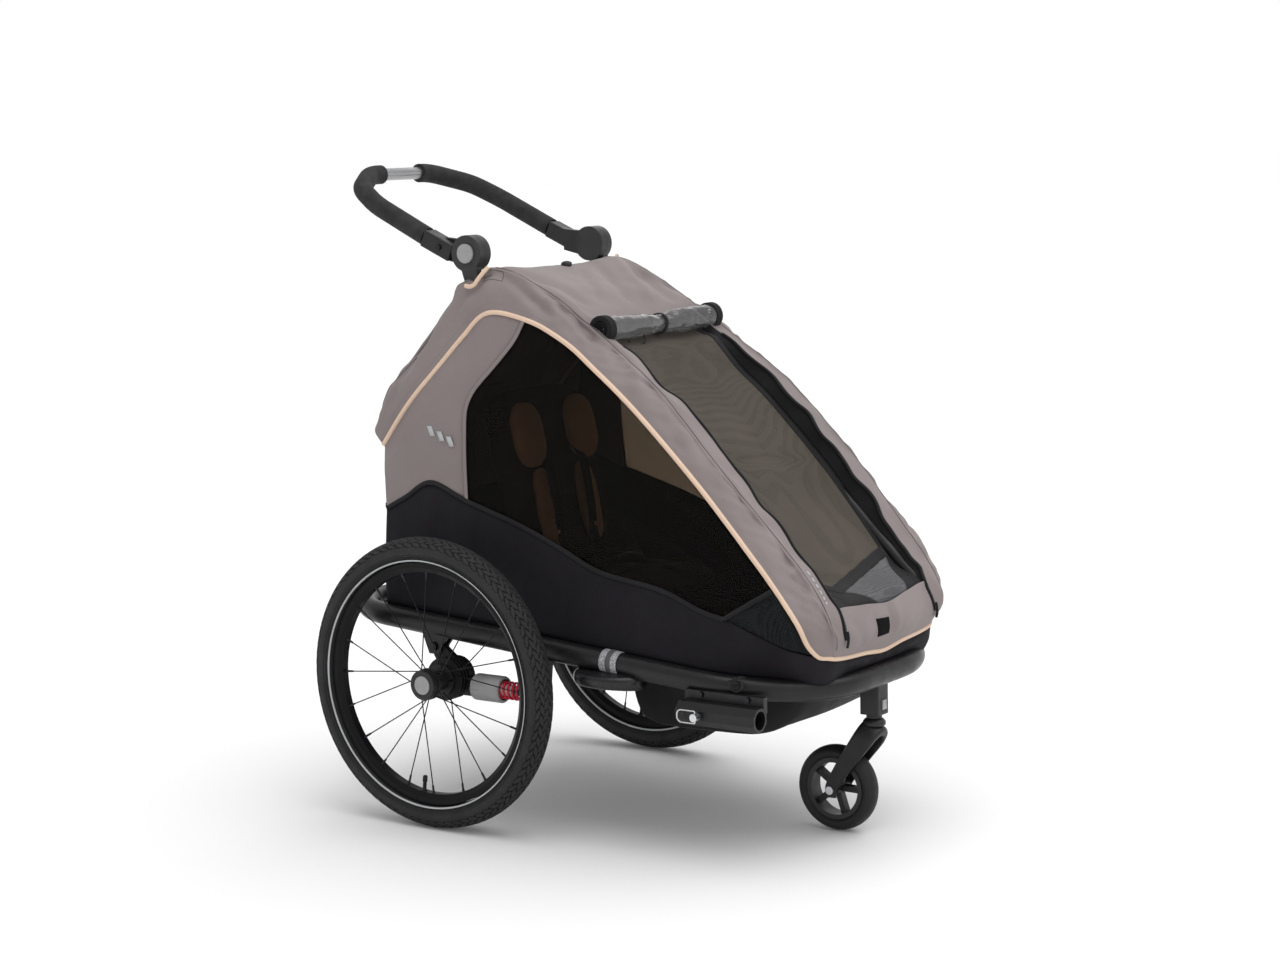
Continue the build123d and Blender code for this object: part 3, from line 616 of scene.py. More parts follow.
def hood_control():
    rows = []
    puff = BAND_PUFF[0]
    for station, ((rx, rz, ry), (ex, ez, ey)) in enumerate(HOOD):
        puff = BAND_PUFF.get(station, puff)
        roof = station >= SCREEN_TO
        zx, zz, zy = ZIP.get(station, (rx + 1, rz - 1, 0.86 * ry))
        cx, cz = MIDDLE.get(station, (rx + 1, rz - ROOF_SAG) if roof else (zx, zz))
        half = [
            (ex, ey, ez),
            ((ex + rx) / 2 + puff[0], (ey + ry) / 2 + puff[1], (ez + rz) / 2 + puff[2]),
            (rx + 0.17 * (ex - rx), ry + 0.17 * (ey - ry), rz + 0.17 * (ez - rz)),
            (rx, ry, rz),
            (zx, zy, zz),
            ((zx + cx) / 2, zy / 2, (zz + cz) / 2 - (1 if roof else -1)),
        ]
        half[2] = tuple(a + 0.45 * b for a, b in zip(half[2], puff))
        right = [(x, -y, z) for x, y, z in half]
        rows.append(right + [(cx, 0, cz)] + half[::-1])
    return rows


def fade(value, low, high):
    """0 below low, 1 above high, and a soft step between."""
    t = min(1.0, max(0.0, (value - low) / (high - low)))
    return t * t * (3 - 2 * t)


# Folds pulled into the cloth, from (station, column) to (station, column): width, and height over it.
CREASES = [
    ((9.95, 8.8), (8.3, 7.6), 15, -10.0),
    ((9.9, 8.4), (8.5, 6.9), 11, 6.5),
    ((9.9, 7.3), (8.5, 6.1), 13, -7.5),
    ((9.6, 6.3), (8.6, 5.1), 10, -5.0),
    ((10.0, 3.5), (8.5, 4.6), 12, -7.5),
    ((9.9, 3.2), (8.1, 3.9), 9, 4.5),
    ((9.9, 2.7), (8.6, 0.9), 10, -6.5),
    ((9.6, 2.8), (8.1, 1.3), 8, 4.6),
    ((9.0, 2.8), (7.6, 1.5), 9, -5.4),
    ((8.3, 2.8), (7.2, 1.8), 8, -4.4),
    ((10.1, 2.5), (11.0, 0.7), 11, -7.0),
    ((10.4, 2.6), (12.2, 1.0), 11, 6.0),
    ((10.9, 3.0), (12.8, 1.6), 12, -7.5),
    ((11.6, 2.4), (13.4, 0.9), 11, -6.5),
    ((12.2, 2.9), (13.7, 1.9), 11, 5.5),
    ((10.75, 2.6), (10.55, 0.35), 24, 13.0),
    ((10.75, 9.4), (10.55, 11.65), 24, 13.0),
    ((1.9, 3.2), (0.6, 4.1), 10, -2.4),
    ((1.6, 4.3), (0.5, 4.7), 9, -2.2),
    ((1.7, 5.2), (0.6, 5.0), 8, -1.8),
    ((1.8, 6.6), (0.7, 6.3), 8, -1.6),
    ((1.8, 7.9), (0.6, 7.3), 9, -2.2),
]


def slack_folds():
    """Short uneven folds beside the seam, down both bands."""
    found = []
    for side in (0, 1):
        for k in range(30):
            row = 2.3 + 0.235 * k + 0.09 * math.sin(5 * k + side)
            start = 2.85 - 0.35 * abs(math.sin(2.3 * k + side))
            reach = 0.45 + 0.8 * abs(math.sin(1.7 * k + 2 * side))
            end_row = row - 0.05 - 0.28 * abs(math.sin(3.1 * k + side))
            height = (-1) ** k * (1.5 + 1.3 * abs(math.sin(2.9 * k)))
            ends = (row, start), (end_row, start - reach)
            if side:
                ends = tuple((r, LAST_COL - c) for r, c in ends)
            found.append((*ends, 7 + 3 * abs(math.sin(4.1 * k)), height))
    return found


def crease_height(g):
    """Height of all the folds over the smooth hood, at each of its points."""
    total = np.zeros(g.shape[:2])
    for (r0, c0), (r1, c1), width, height in CREASES + slack_folds():
        a = g[round(r0 * ROW_STEPS), round(c0 * COL_STEPS)]
        b = g[round(r1 * ROW_STEPS), round(c1 * COL_STEPS)]
        run = b - a
        t = ((g - a) @ run) / (run @ run)
        away = np.linalg.norm(g - a - np.clip(t, 0, 1)[..., None] * run, axis=2)
        ends = np.sqrt(np.clip(4.4 * (t + 0.06) * (1.06 - t), 0, 1))
        total += height * np.exp(-((away / width) ** 2)) * ends
    return total


def hood_height(along, across, station, side):
    """Soft unevenness of the cloth. along and across in millimetres."""
    band = fade(across, 2.75, 3.3)
    spread = 27 * across
    skew = 6.0 * ripple((along + 1.35 * spread) / 60, spread / 90, 3.0 + side)
    skew += 2.6 * ripple((along - 0.9 * spread) / 26, spread / 40, 7.0 + side)
    roof = 9.0 * ripple((along + 14 * across * side) / 85, across / 1.8, 12.0 + side)
    roof += 3.0 * ripple(along / 36, across * side / 0.9, 15.0)
    return (skew * band + roof * (1 - band)) * fade(station, 0.1, 1.4)


def hem_share(across, station):
    """How far a fold can lift the cloth: hardly at its edges, and little at the seams."""
    seam = 1 - 0.8 * math.exp(-(((across - 3) / 0.3) ** 2)) * fade(station, 1.5, 2.5)
    edge = (1 - 0.8 * fade(across, 5.2, 6.0)) * (1 - 0.8 * fade(station, 13.2, 14))
    return seam * edge * fade(station, 0.0, 0.8)


def hood_surface():
    g = smooth_grid(hood_control(), ROW_STEPS, COL_STEPS)
    normals = -normals_of(g)
    rows, cols = g.shape[:2]
    ridge = g[:, RIDGE_COL * COL_STEPS]
    run = np.r_[0, np.cumsum(np.linalg.norm(np.diff(ridge, axis=0), axis=1))]
    creased = crease_height(g)
    for i in range(rows):
        station = i / ROW_STEPS
        wavy = fade(station, 2.1, 3.2) * (1 - fade(station, 7.0, 7.8))
        for j in range(cols):
            side = -1 if j < cols / 2 else 1
            across = abs(j - (cols - 1) / 2) / COL_STEPS
            height = creased[i, j] + hood_height(run[i], across, station, side)
            g[i, j] += normals[i, j] * height * hem_share(across, station)
            near_zip = math.exp(-(((across - 2) / 0.55) ** 2)) * wavy
            g[i, j, 1] += side * 3.2 * math.sin(run[i] / 14.5 + side) * near_zip
    return g, -normals_of(g)


hood, hood_normals = hood_surface()
HOOD_COLS = hood.shape[1]
screen_rows = (SCREEN_FROM * ROW_STEPS, SCREEN_TO * ROW_STEPS)
screen_cols = (ZIP_COL * COL_STEPS, HOOD_COLS - 1 - ZIP_COL * COL_STEPS)


def in_screen(i, j):
    """Whether a cell of the hood lies in the opening for the screen."""
    return screen_rows[0] <= i < screen_rows[1] and screen_cols[0] <= j < screen_cols[1]


def column(col, side, first, last, lift=0.0):
    """A line on the hood along a column, from one station to another, with its normals."""
    j = round(col * COL_STEPS)
    j = j if side < 0 else HOOD_COLS - 1 - j
    rows = slice(round(first * ROW_STEPS), round(last * ROW_STEPS) + 1)
    return hood[rows, j] + hood_normals[rows, j] * lift, hood_normals[rows, j]


def stitches(name, line, normals, mat="thread", pitch=3.4, length=2.2):
    """A row of short threads lying on a line."""
    run = float(np.linalg.norm(np.diff(line, axis=0), axis=1).sum())
    count = max(2, int(run / pitch))
    points = even(line, count * 2)
    lifts = even(normals, count * 2)
    made_verts, made_faces = [], []
    for k in range(0, count * 2 - 1, 2):
        a, b, n = points[k], points[k + 1], lifts[k]
        along = (b - a) / max(np.linalg.norm(b - a), 1e-9)
        side = np.cross(along, n)
        base = len(made_verts)
        middle = (a + b) / 2 + n * 0.15
        for s, t, h in ((-0.5, 0, 0), (0, -0.3, 0), (0.5, 0, 0), (0, 0.3, 0), (0, 0, 0.35)):
            made_verts.append(middle + along * s * length + side * t + n * h)
        made_faces += [(base, base + 1, base + 4), (base + 1, base + 2, base + 4),
                       (base + 2, base + 3, base + 4), (base + 3, base, base + 4),
                       (base, base + 3, base + 2, base + 1)]
    return make(name, made_verts, made_faces, mat)


def build_hood():
    cloth_piece = surface("canopy_hood", hood, "taupe", 1.2, is_open=in_screen)
    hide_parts("canopy")
    folds(cloth_piece)
    stations = len(HOOD) - 1
    edge_right, edge_left = (column(EDGE_COL, side, 0, stations)[0] for side in (-1, 1))
    route = even(np.vstack([edge_right[::-1], hood[0][1:-1], edge_left]), 620)
    for _ in range(3):
        route[1:-1] = (route[:-2] + 2 * route[1:-1] + route[2:]) / 4
    folds(tube_along("canopy_piping", route, 4.1, "piping", sides=12))
    parts = []
    for name, side in SIDES:
        ridge = column(RIDGE_COL, side, 0.5, 9.9, 0.4)[0]
        parts.append(tube_along("ridge_seam_" + name, ridge, 1.0, "seam", sides=6))
        for shift in (-0.3, 0.24):
            line, line_n = column(RIDGE_COL + shift, side, 0.6, 9.8, 0.6)
            parts.append(stitches("ridge_stitch_%s_%d" % (name, shift > 0), line, line_n))
        hem, hem_n = column(0.36, side, 0.6, stations, 0.6)
        parts.append(stitches("hem_stitch_" + name, hem, hem_n))
        back = column(2.0, side, 10.0, 13.9, 0.5)[0]
        parts.append(tube_along("rear_seam_" + name, back, 0.7, "seam", sides=6))
        parts.append(hem_box(name, side))
        parts.append(neck_trim(name, side))
    folds(join(parts, "canopy_seams"))
    build_zips()
    build_hood_trim()


def hem_box(name, side):
    """A stitched rectangle under the handle."""
    rows_cols = [(9.75, 2.6), (10.2, 2.6), (10.2, 1.55), (9.75, 1.55), (9.75, 2.6)]
    line = []
    for (r0, c0), (r1, c1) in zip(rows_cols, rows_cols[1:]):
        for t in np.linspace(0, 1, 14)[:-1]:
            c = c0 + (c1 - c0) * t
            col = c if side < 0 else LAST_COL - c
            line.append(on_hood(r0 + (r1 - r0) * t, col, 0.5)[0])
    return tube_along("hem_box_" + name, np.array(line), 0.6, "seam", sides=6, closed=True)


def neck_trim(name, side):
    """Piping round the slot that lets the handle's post through."""
    points = [(40, 191, 946), (34, 199, 936), (28, 206, 925), (23, 209, 917), (14, 210, 914), (4, 208, 915)]
    return tube_along("neck_piping_" + name, smooth_line(mirrored(points, side), 50), 3.8, "piping", sides=10)


def build_zips():
    parts = []
    for name, side in SIDES:
        line, line_n = column(ZIP_COL, side, 1.0, 7.1, 0.2)
        parts.append(ribbon("zip_tape_" + name, line, line_n, 9, 0.9, "binding"))
        parts.append(tube_along("zip_teeth_" + name, line + line_n * 1.2, 1.7, "zip", sides=8, flat=0.7))
        end, end_n = line[0], line_n[0]
        pull = [end + end_n * 3 + (0, 0, 14), end + end_n * 5 + (0, 0, 6), end + end_n * 5 + (0, side, -4),
                end + end_n * 4 + (-1, side, -12)]
        parts.append(tube_along("zip_pull_" + name, smooth_line(pull, 24), 2.2, "binding", sides=8))
    folds(join(parts, "screen_zips"))


def in_cell(g, row, col):
    """A grid's value between its points."""
    i, j = int(row), int(col)
    down, over = row - i, col - j
    near = g[i, j] * (1 - down) + g[i + 1, j] * down
    far = g[i, j + 1] * (1 - down) + g[i + 1, j + 1] * down
    return near * (1 - over) + far * over


def on_hood(station, col, lift=0.0):
    """A point of the hood, by station and column counted from the right edge, and its normal."""
    at = station * ROW_STEPS, col * COL_STEPS
    normal = in_cell(hood_normals, *at)
    return in_cell(hood, *at) + normal * lift, normal


def patch(name, rows, cols, mat, thick=0.8, steps=12):
    """A flat label lying on the hood between two stations and two columns."""
    g = [[on_hood(r, c, 0.9)[0] for c in np.linspace(*cols, steps)] for r in np.linspace(*rows, steps)]
    return surface(name, g, mat, thick)


def build_hood_trim():
    folds(patch("velcro_patch", (0.76, 1.44), (5.28, 5.86), "velcro", 1.6))
    marks = []
    for k in range(6):
        row = 2.5 + 0.2 * k
        marks.append(patch("mark_%d" % k, (row, row + 0.12), (3.55, 3.68), "stripe", 0.5, 4))
    folds(join(marks, "reflective_dashes"))
    knob_at, knob_n = on_hood(9.75, 6.0, 0)
    bead = [(0.1, -1), (9, -1), (10, 1), (9.4, 5), (6, 7.5), (0.1, 8.5)]
    folds(turned("roof_knob", bead, knob_at, "plastic", 28, up=knob_n))


build_hood()

# ---------------------------------------------------------------- front screen
# The screen's line down the middle (x, z) and its half width.
SCREEN = [
    (226, 852, 138), (236, 831, 141), (262, 816, 143), (296, 804, 144), (396, 729, 149), (522, 603, 149),
    (623, 484, 144), (669, 431, 142), (687, 405, 140), (693, 386, 140),
]
SCREEN_BORDER = 17.0
SCREEN_DEPTH = 22.0
BORDER_BOTTOM = 0.897
CORNER_V = -0.62


SCREEN_LINE = smooth_line(SCREEN, 400)


def screen_line_at(u):
    return SCREEN_LINE[min(len(SCREEN_LINE) - 1, int(u * (len(SCREEN_LINE) - 1)))]


def screen_point(u, v, lift=0.0):
    """A point of the screen: u from its top to its bottom, v from -1 to 1 across."""
    x, z, half = screen_line_at(u)
    sunk = SCREEN_DEPTH * fade(u, 0.08, 0.26) * (1 - fade(u, 0.88, 0.98))
    sag = 5.0 * math.sin(math.pi * min(1, max(0, (u - 0.12) / 0.88))) * (1 - v * v)
    crease = 3.5 * math.exp(-(((u - 0.52 - 0.03 * v) / 0.018) ** 2)) * (1 - v * v)
    wave = 1.8 * ripple(5 * u + v, 2.2 * v, 31.0)
    drop = sunk + sag + crease - wave - lift
    return (x - 0.72 * drop, half * v, z - 0.69 * drop)


def screen_wall(name, side):
    """The black strip from the hood's cut edge down to the screen."""
    rim = np.array([screen_point(u, side * 0.995) for u in np.linspace(0, 1, 300)])
    rows = []
    last = len(rim) - 1
    for p in column(ZIP_COL, side, SCREEN_FROM, SCREEN_TO)[0]:
        last = int(np.argmin(np.linalg.norm(rim[: last + 1] - p, axis=1)))
        rows.append([p + (rim[last] - p) * t for t in np.linspace(0, 1, 6)])
    return surface("wall_" + name, rows, "binding", 0.8)


def band_at(v):
    """Where the band under the mesh runs, lower on the right-hand side, with that corner cut off."""
    if v < CORNER_V:
        return band_at(CORNER_V) - 0.17 * (CORNER_V - v)
    return BORDER_BOTTOM - 0.046 * v


def border_share(u):
    return 1 - SCREEN_BORDER / screen_line_at(u)[2]


def below_band(starts, ends, count, lift):
    """A strip of the screen under its band, row by row between two lists of places across."""
    rows = []
    for t, first, last in zip(np.linspace(0, 1, len(starts)), starts, ends):
        across = np.linspace(first, last, count)
        rows.append([screen_point(band_at(v) + (1 - band_at(v)) * t, v, lift) for v in across])
    return rows


def build_screen():
    us = np.linspace(0, 1, 150)
    g = [[screen_point(u, v) for v in np.linspace(-1, 1, 48)] for u in us]
    mesh_piece = surface("screen_mesh", g, "mesh", 0.4)
    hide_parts("front_screen")
    folds(mesh_piece)
    trims = []
    for name, side in SIDES:
        g = [[screen_point(u, side * v, 1.0) for v in np.linspace(border_share(u), 1.02, 7)] for u in us]
        trims.append(surface("border_" + name, g, "binding", 0.8))
    low = np.linspace(0, 1, 24)
    net_right = CORNER_V + 0.05 + 0.5 * low
    net_left = 0.9 - 0.35 * low
    for name, starts, ends in (("right", [-0.92] * 24, net_right), ("left", net_left, [0.92] * 24)):
        trims.append(surface("border_low_" + name, below_band(starts, ends, 26, 0.9), "binding", 0.8))
    band = [[screen_point(band_at(v) + w, v, 1.4) for v in np.linspace(-0.92, 0.92, 40)]
            for w in np.linspace(-0.024, 0.006, 6)]
    trims.append(surface("border_band", band, "binding", 0.9))
    for name, side in SIDES:
        trims.append(screen_wall(name, side))
    folds(join(trims, "screen_border"))
    folds(surface("screen_grey_net", below_band(net_right, net_left, 20, 1.0), "grey_net", 0.4))


build_screen()

# ---------------------------------------------------------------- side panels and windows
SIDE_Y, SIDE_Z, SIDE_LEAN = 252.0, 330.0, 0.066


def side_point(x, z, out=0.0):
    """A point in the leaning side of the cabin, on the left."""
    return (x, SIDE_Y - SIDE_LEAN * (z - SIDE_Z) + out, z)


def coons(top, bottom, start, end, rows, cols):
    """A flat patch between four lines of (x, z)."""
    top, bottom = even(top, cols), even(bottom, cols)
    start, end = even(start, rows), even(end, rows)
    out = []
    for i, v in enumerate(np.linspace(0, 1, rows)):
        row = []
        for j, u in enumerate(np.linspace(0, 1, cols)):
            edges = (1 - v) * top[j] + v * bottom[j] + (1 - u) * start[i] + u * end[i]
            corners = (1 - u) * (1 - v) * top[0] + u * (1 - v) * top[-1] + (1 - u) * v * bottom[0]
            row.append(edges - corners - u * v * bottom[-1])
        out.append(row)
    return np.array(out)


def side_cloth(name, patch_xz, side, mat, puff, thickness, folds_high=0.0, seed=1.0):
    rows, cols = patch_xz.shape[:2]
    g = np.zeros((rows, cols, 3))
    for i in range(rows):
        for j in range(cols):
            u, v = i / (rows - 1), j / (cols - 1)
            out = puff * 16 * u * (1 - u) * v * (1 - v)
            out += folds_high * ripple(3.0 * u + 1.2 * v, 2.0 * v, seed + side) * min(1, 8 * u * (1 - u))
            out -= 2.6 * fade(v, 0.86, 1.0)
            g[i, j] = side_point(*patch_xz[i, j], out)
    return surface(name, mirrored(g, side), mat, thickness)


HOOD_LINE_REAR = [(-166, 653), (-111, 713), (-46, 778), (8, 829), (40, 860), (57, 869), (89, 867), (132, 859)]
HOOD_LINE_FRONT = [(132, 859), (150, 854), (207, 827), (269, 786), (330, 741), (390, 690), (449, 633),
                   (508, 575), (566, 512), (604, 472), (626, 446)]
WINDOW_EDGE = [(132, 859), (110, 823), (66, 777), (45, 757), (26, 736), (14, 713), (10, 688), (11, 621),
               (16, 551)]
BELT = [(-160, 527), (-118, 549), (-62, 578), (16, 551), (129, 517), (213, 485), (295, 451), (415, 431),
        (493, 404), (538, 394)]
BELT_WINDOW = 3
NET_EDGE = [(626, 446), (590, 425), (538, 394)]
# Each hem's outline, points along it, lift off the panel, width, thickness and cloth.
HEMS = [
    ("window", WINDOW_EDGE, 70, 1.2, 7, 1.2, "taupe"),
    ("belt", BELT, 130, 1.5, 8, 1.4, "binding"),
    ("net", NET_EDGE, 30, 1.0, 8, 1.4, "binding"),
]
REAR_EDGE = [(-166, 653), (-166, 600), (-160, 527)]


def tucked(line):
    """The same line a little lower, behind the lower cloth's edge."""
    return [(x, z - 9) for x, z in line]


def build_sides():
    panels, windows, trims = [], [], []
    for name, side in SIDES:
        xz = coons(smooth_line(HOOD_LINE_REAR), tucked(BELT[: BELT_WINDOW + 1]), smooth_line(REAR_EDGE),
                   smooth_line(WINDOW_EDGE), 44, 40)
        panels.append(side_cloth("panel_" + name, xz, side, "taupe", 3.0, 1.2, 1.8, 40.0))
        xz = coons(smooth_line(HOOD_LINE_FRONT), tucked(BELT[BELT_WINDOW:]), smooth_line(WINDOW_EDGE),
                   NET_EDGE, 40, 60)
        windows.append(side_cloth("window_" + name, xz, side, "window", 2.0, 0.5, 1.4, 50.0))
        out = (0, side, SIDE_LEAN)
        for title, outline, count, lift, width, thick, mat in HEMS:
            edge = mirrored([side_point(x, z, lift) for x, z in smooth_line(outline, count)], side)
            trims.append(ribbon("%s_hem_%s" % (title, name), edge, out, width, thick, mat))
            if title == "window":
                normals = np.tile(out, (len(edge), 1))
                trims.append(stitches("window_stitch_" + name, edge + (-5, 0, 0), normals))
    marks = []
    for name, side in SIDES:
        for k in range(3):
            x0 = -70 + 21 * k
            g = []
            for t in np.linspace(0, 1, 3):
                row = [side_point(x0 + w + 8 * t, 675 - 8 * k - 17 * t, 4.4) for w in (0, 3.5, 7, 10.5)]
                g.append(row)
            marks.append(surface("mark_%s_%d" % (name, k), mirrored(g, side), "stripe", 0.4))
    folds(join(marks, "side_marks"))
    panel = join(panels, "side_panels_cloth")
    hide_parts("side_panels")
    glass = join(windows, "side_windows_film")
    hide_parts("side_windows")
    trim = join(trims, "side_hems")
    for piece in (panel, glass, trim):
        folds(piece)


build_sides()

# ---------------------------------------------------------------- black lower cloth, round the front
RING_LEVEL_X, RING_LEVEL_Z, RING_SLOPE = 319.0, 304.0, 0.08
RING_CORNER_X, RING_CORNER_Y, RING_CORNER_R = 498.0, 65.0, 190.0
TUBE_R = 19.0
HOOP_FOOT_TURN = 59.0


def ring_z(x):
    """Height of the base ring's middle."""
    return RING_LEVEL_Z - RING_SLOPE * (x - RING_LEVEL_X)


def lower_top():
    """Upper edge of the lower cloth on the left, from the rear to the middle of the front."""
    line = [side_point(x, z) for x, z in BELT]
    line += [side_point(600, 372, -1), (642, 236, 353), (664, 215, 343), (675, 190, 334), (685, 158, 326)]
    return line + [(688, 120, 322), (687, 60, 315), (687, 0, 312)]


def lower_bottom():
    """Its lower edge, tucked against the top of the ring, and out round the foot of the hoop."""
    line = [(x, 247, ring_z(x) + 16) for x in np.linspace(-160, RING_CORNER_X, 30)]
    r = RING_CORNER_R - 9
    for k in range(1, 31):
        turn = 3 * k
        out = 25 * math.exp(-(((turn - HOOP_FOOT_TURN) / 13) ** 2))
        a = math.radians(turn)
        x = RING_CORNER_X + (r + out) * math.sin(a)
        line.append((x, RING_CORNER_Y + (r + out) * math.cos(a), ring_z(x) + 16 - 0.2 * out))
    return line + [(RING_CORNER_X + r, 30, ring_z(679) + 16), (RING_CORNER_X + r, 0, ring_z(679) + 16)]


def build_lower():
    count, rows = 170, 16
    top, bottom = even(catmull(lower_top(), 6), count), even(lower_bottom(), count)
    half = []
    for v in np.linspace(0, 1, rows):
        row = (1 - v) * top + v * bottom
        swell = 16 * (v * (1 - v)) * 0.25
        middle = np.array([RING_CORNER_X - 120, 0, 0])
        away = (row - middle) * (1, 1, 0)
        away[row[:, 0] < RING_CORNER_X - 60] = (0, 1, 0)
        away /= np.linalg.norm(away, axis=1, keepdims=True)
        fold = np.array([2.6 * ripple(k / 9.0, 1.6 * v, 61.0) + 1.2 * ripple(k / 3.5, v, 64.0)
                         for k in range(count)])
        half.append(row + away * (5.0 * swell + fold * 4 * v * (1 - v))[:, None])
    half = np.array(half)
    whole = np.concatenate([mirrored(half, -1), half[:, -2::-1]], axis=1)
    piece = surface("lower_cloth", whole, "skirt", 1.2)
    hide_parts("side_skirts")
    nets = []
    for name, side in SIDES:
        edge = [side_point(626, 446, -1), side_point(640, 430, -1), (660, 230, 388), (668, 212, 358),
                (675, 190, 340)]
        low = [side_point(538, 394, -1), side_point(600, 373, -2), (642, 235, 354), (662, 214, 345),
               (674, 190, 336)]
        a, b = smooth_line(edge, 30), smooth_line(low, 30)
        g = np.array([(1 - t) * a + t * b for t in np.linspace(0, 1, 12)])
        nets.append(surface("net_" + name, mirrored(g, side), "side_net", 0.4))
    net = join(nets, "side_nets")
    folds(piece)
    folds(net)
    build_rear()


# The rear cloth from top to bottom: x, z and half width.
REAR_ROWS = ((-156, 716, 203), (-170, 674, 213), (-176, 600, 221), (-172, 530, 226), (-166, 440, 231),
             (-160, 345, 235))
REAR_STEPS, REAR_SPLIT_ROW = 16, 3


def build_rear():
    rows = []
    for x, z, half in REAR_ROWS:
        rows.append([(x - 5 * (1 - f * f), half * f, z) for f in (-1, -0.7, -0.35, 0, 0.35, 0.7, 1)])
    g = rumple(smooth_grid(rows, REAR_STEPS, 8), 2.4, 2.2, 2.6, 0.5, 71.0, 0.08)
    split = REAR_SPLIT_ROW * REAR_STEPS
    upper = surface("rear_cloth", g[: split + 1], "taupe", 1.2)
    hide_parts("rear_panel")
    lower = surface("rear_lower_cloth", g[split:], "skirt", 1.2)
    hem = ribbon("rear_hem", g[split] + (-1.2, 0, 0), (-1, 0, 0), 9, 1.4, "binding")
    for piece in (upper, lower, hem):
        folds(piece)


build_lower()

# ---------------------------------------------------------------- rolled rain cover
ROLL_X, ROLL_Z, ROLL_HALF, ROLL_SIDES = 256.0, 844.0, 166.0, 56


def roll_radius(y, a):
    """The roll is pulled in by the strap in its middle and crumpled between."""
    waist = 6.6 * math.exp(-((y / 30) ** 2)) + 1.2 * math.exp(-(((y + 88) / 50) ** 2))
    crumple = 2.0 * ripple(y / 42.0, 1.4 * math.cos(a) + 0.5, 1.4 * math.sin(a) + 81)
    crumple += 0.9 * ripple(y / 15.0, 2.0 * math.cos(a), 2.0 * math.sin(a) + 85)
    from_ring = ROLL_HALF - 5 - abs(y)
    flow = 1 - math.exp(-(from_ring / 14) ** 2) if from_ring > 0 else 0
    return 20.8 - waist + crumple * (0.25 + 0.75 * flow)


def build_roll():
    ys = np.linspace(-ROLL_HALF, ROLL_HALF, 190)
    verts = []
    for y in ys:
        sag = 1.6 * math.cos(math.pi * y / 340)
        for k in range(ROLL_SIDES):
            a = 2 * math.pi * k / ROLL_SIDES
            r = roll_radius(y, a)
            verts.append((ROLL_X + r * math.cos(a), y, ROLL_Z - sag + r * math.sin(a)))
    film = make("rain_cover_film", verts, grid_faces(len(ys), ROLL_SIDES, closed_cols=True), "film")
    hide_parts("rain_cover_roll")
    rings = []
    for name, side in SIDES:
        for k in range(4):
            ring = [(15, -2.0), (22.6, -2.0), (23.4, -1.2), (23.4, 1.2), (22.6, 2.0), (15, 2.0)]
            centre = (ROLL_X, side * (ROLL_HALF - 9 + 4.2 * k), ROLL_Z)
            rings.append(spun("ring_%s_%d" % (name, k), ring, centre, "binding", "chassis", 72))
        for k in range(3):
            r = 12.5 - 4.0 * k
            wall = [(r - 1.2, -4), (r, -5), (r + 1.0, -4), (r + 1.0, 4), (r, 5), (r - 1.2, 4)]
            centre = (ROLL_X, side * (ROLL_HALF - 1 - 1.5 * k), ROLL_Z)
            rings.append(spun("end_layer_%s_%d" % (name, k), wall, centre, "binding", "chassis", 48))
    ends = join(rings, "rain_cover_ends")
    a = np.linspace(0, 2 * math.pi, 61)[:-1]
    loop = np.stack([ROLL_X + 17.0 * np.cos(a), 3.0 + 2 * np.sin(2 * a), ROLL_Z - 2 + 17.0 * np.sin(a)], 1)
    strap = tube_along("roll_strap", loop, 4.6, "webbing", sides=10, closed=True, flat=0.3)
    tail = [(268, -60, 828), (274, -66, 818), (272, -78, 811), (262, -88, 812), (258, -92, 820)]
    cord = tube_along("roll_strap_tail", smooth_line(tail, 40), 1.5, "webbing", sides=8)
    strap = join([strap, cord], "rain_cover_strap")
    for piece in (film, ends, strap):
        folds(piece)


build_roll()

# ---------------------------------------------------------------- wheels
WHEEL_R, WHEEL_Y, SECTION_R = 250.0, 329.0, 24.0
TREAD_BLOCKS, TREAD_HALF, GROOVE_DEPTH = 84, 66.0, 2.6
TREAD_COLUMNS = 7


def groove(theta, phi):
    """Depth of the tread's grooves: staggered rows of scale-like blocks."""
    if abs(phi) > TREAD_HALF + 8:
        return 0.0
    width = 2 * TREAD_HALF / TREAD_COLUMNS
    turn = theta * TREAD_BLOCKS / (2 * math.pi)
    wave = 2.6 * math.sin(2 * math.pi * turn)
    col = (phi + TREAD_HALF + wave) / width
    c = math.floor(col)
    across = abs(col - c - 0.5)
    slant = 0.42 * (col - c - 0.5) * (1 if c % 2 else -1) + 0.5 * (c % 2)
    along = turn + slant
    along = abs(along - math.floor(along) - 0.5)
    side_cut = max(0.0, (across - 0.42) / 0.06)
    cross_cut = max(0.0, (along - 0.38) / 0.10)
    shoulder = min(1.0, (TREAD_HALF + 8 - abs(phi)) / 8)
    return GROOVE_DEPTH * shoulder * min(1.0, max(side_cut, cross_cut))


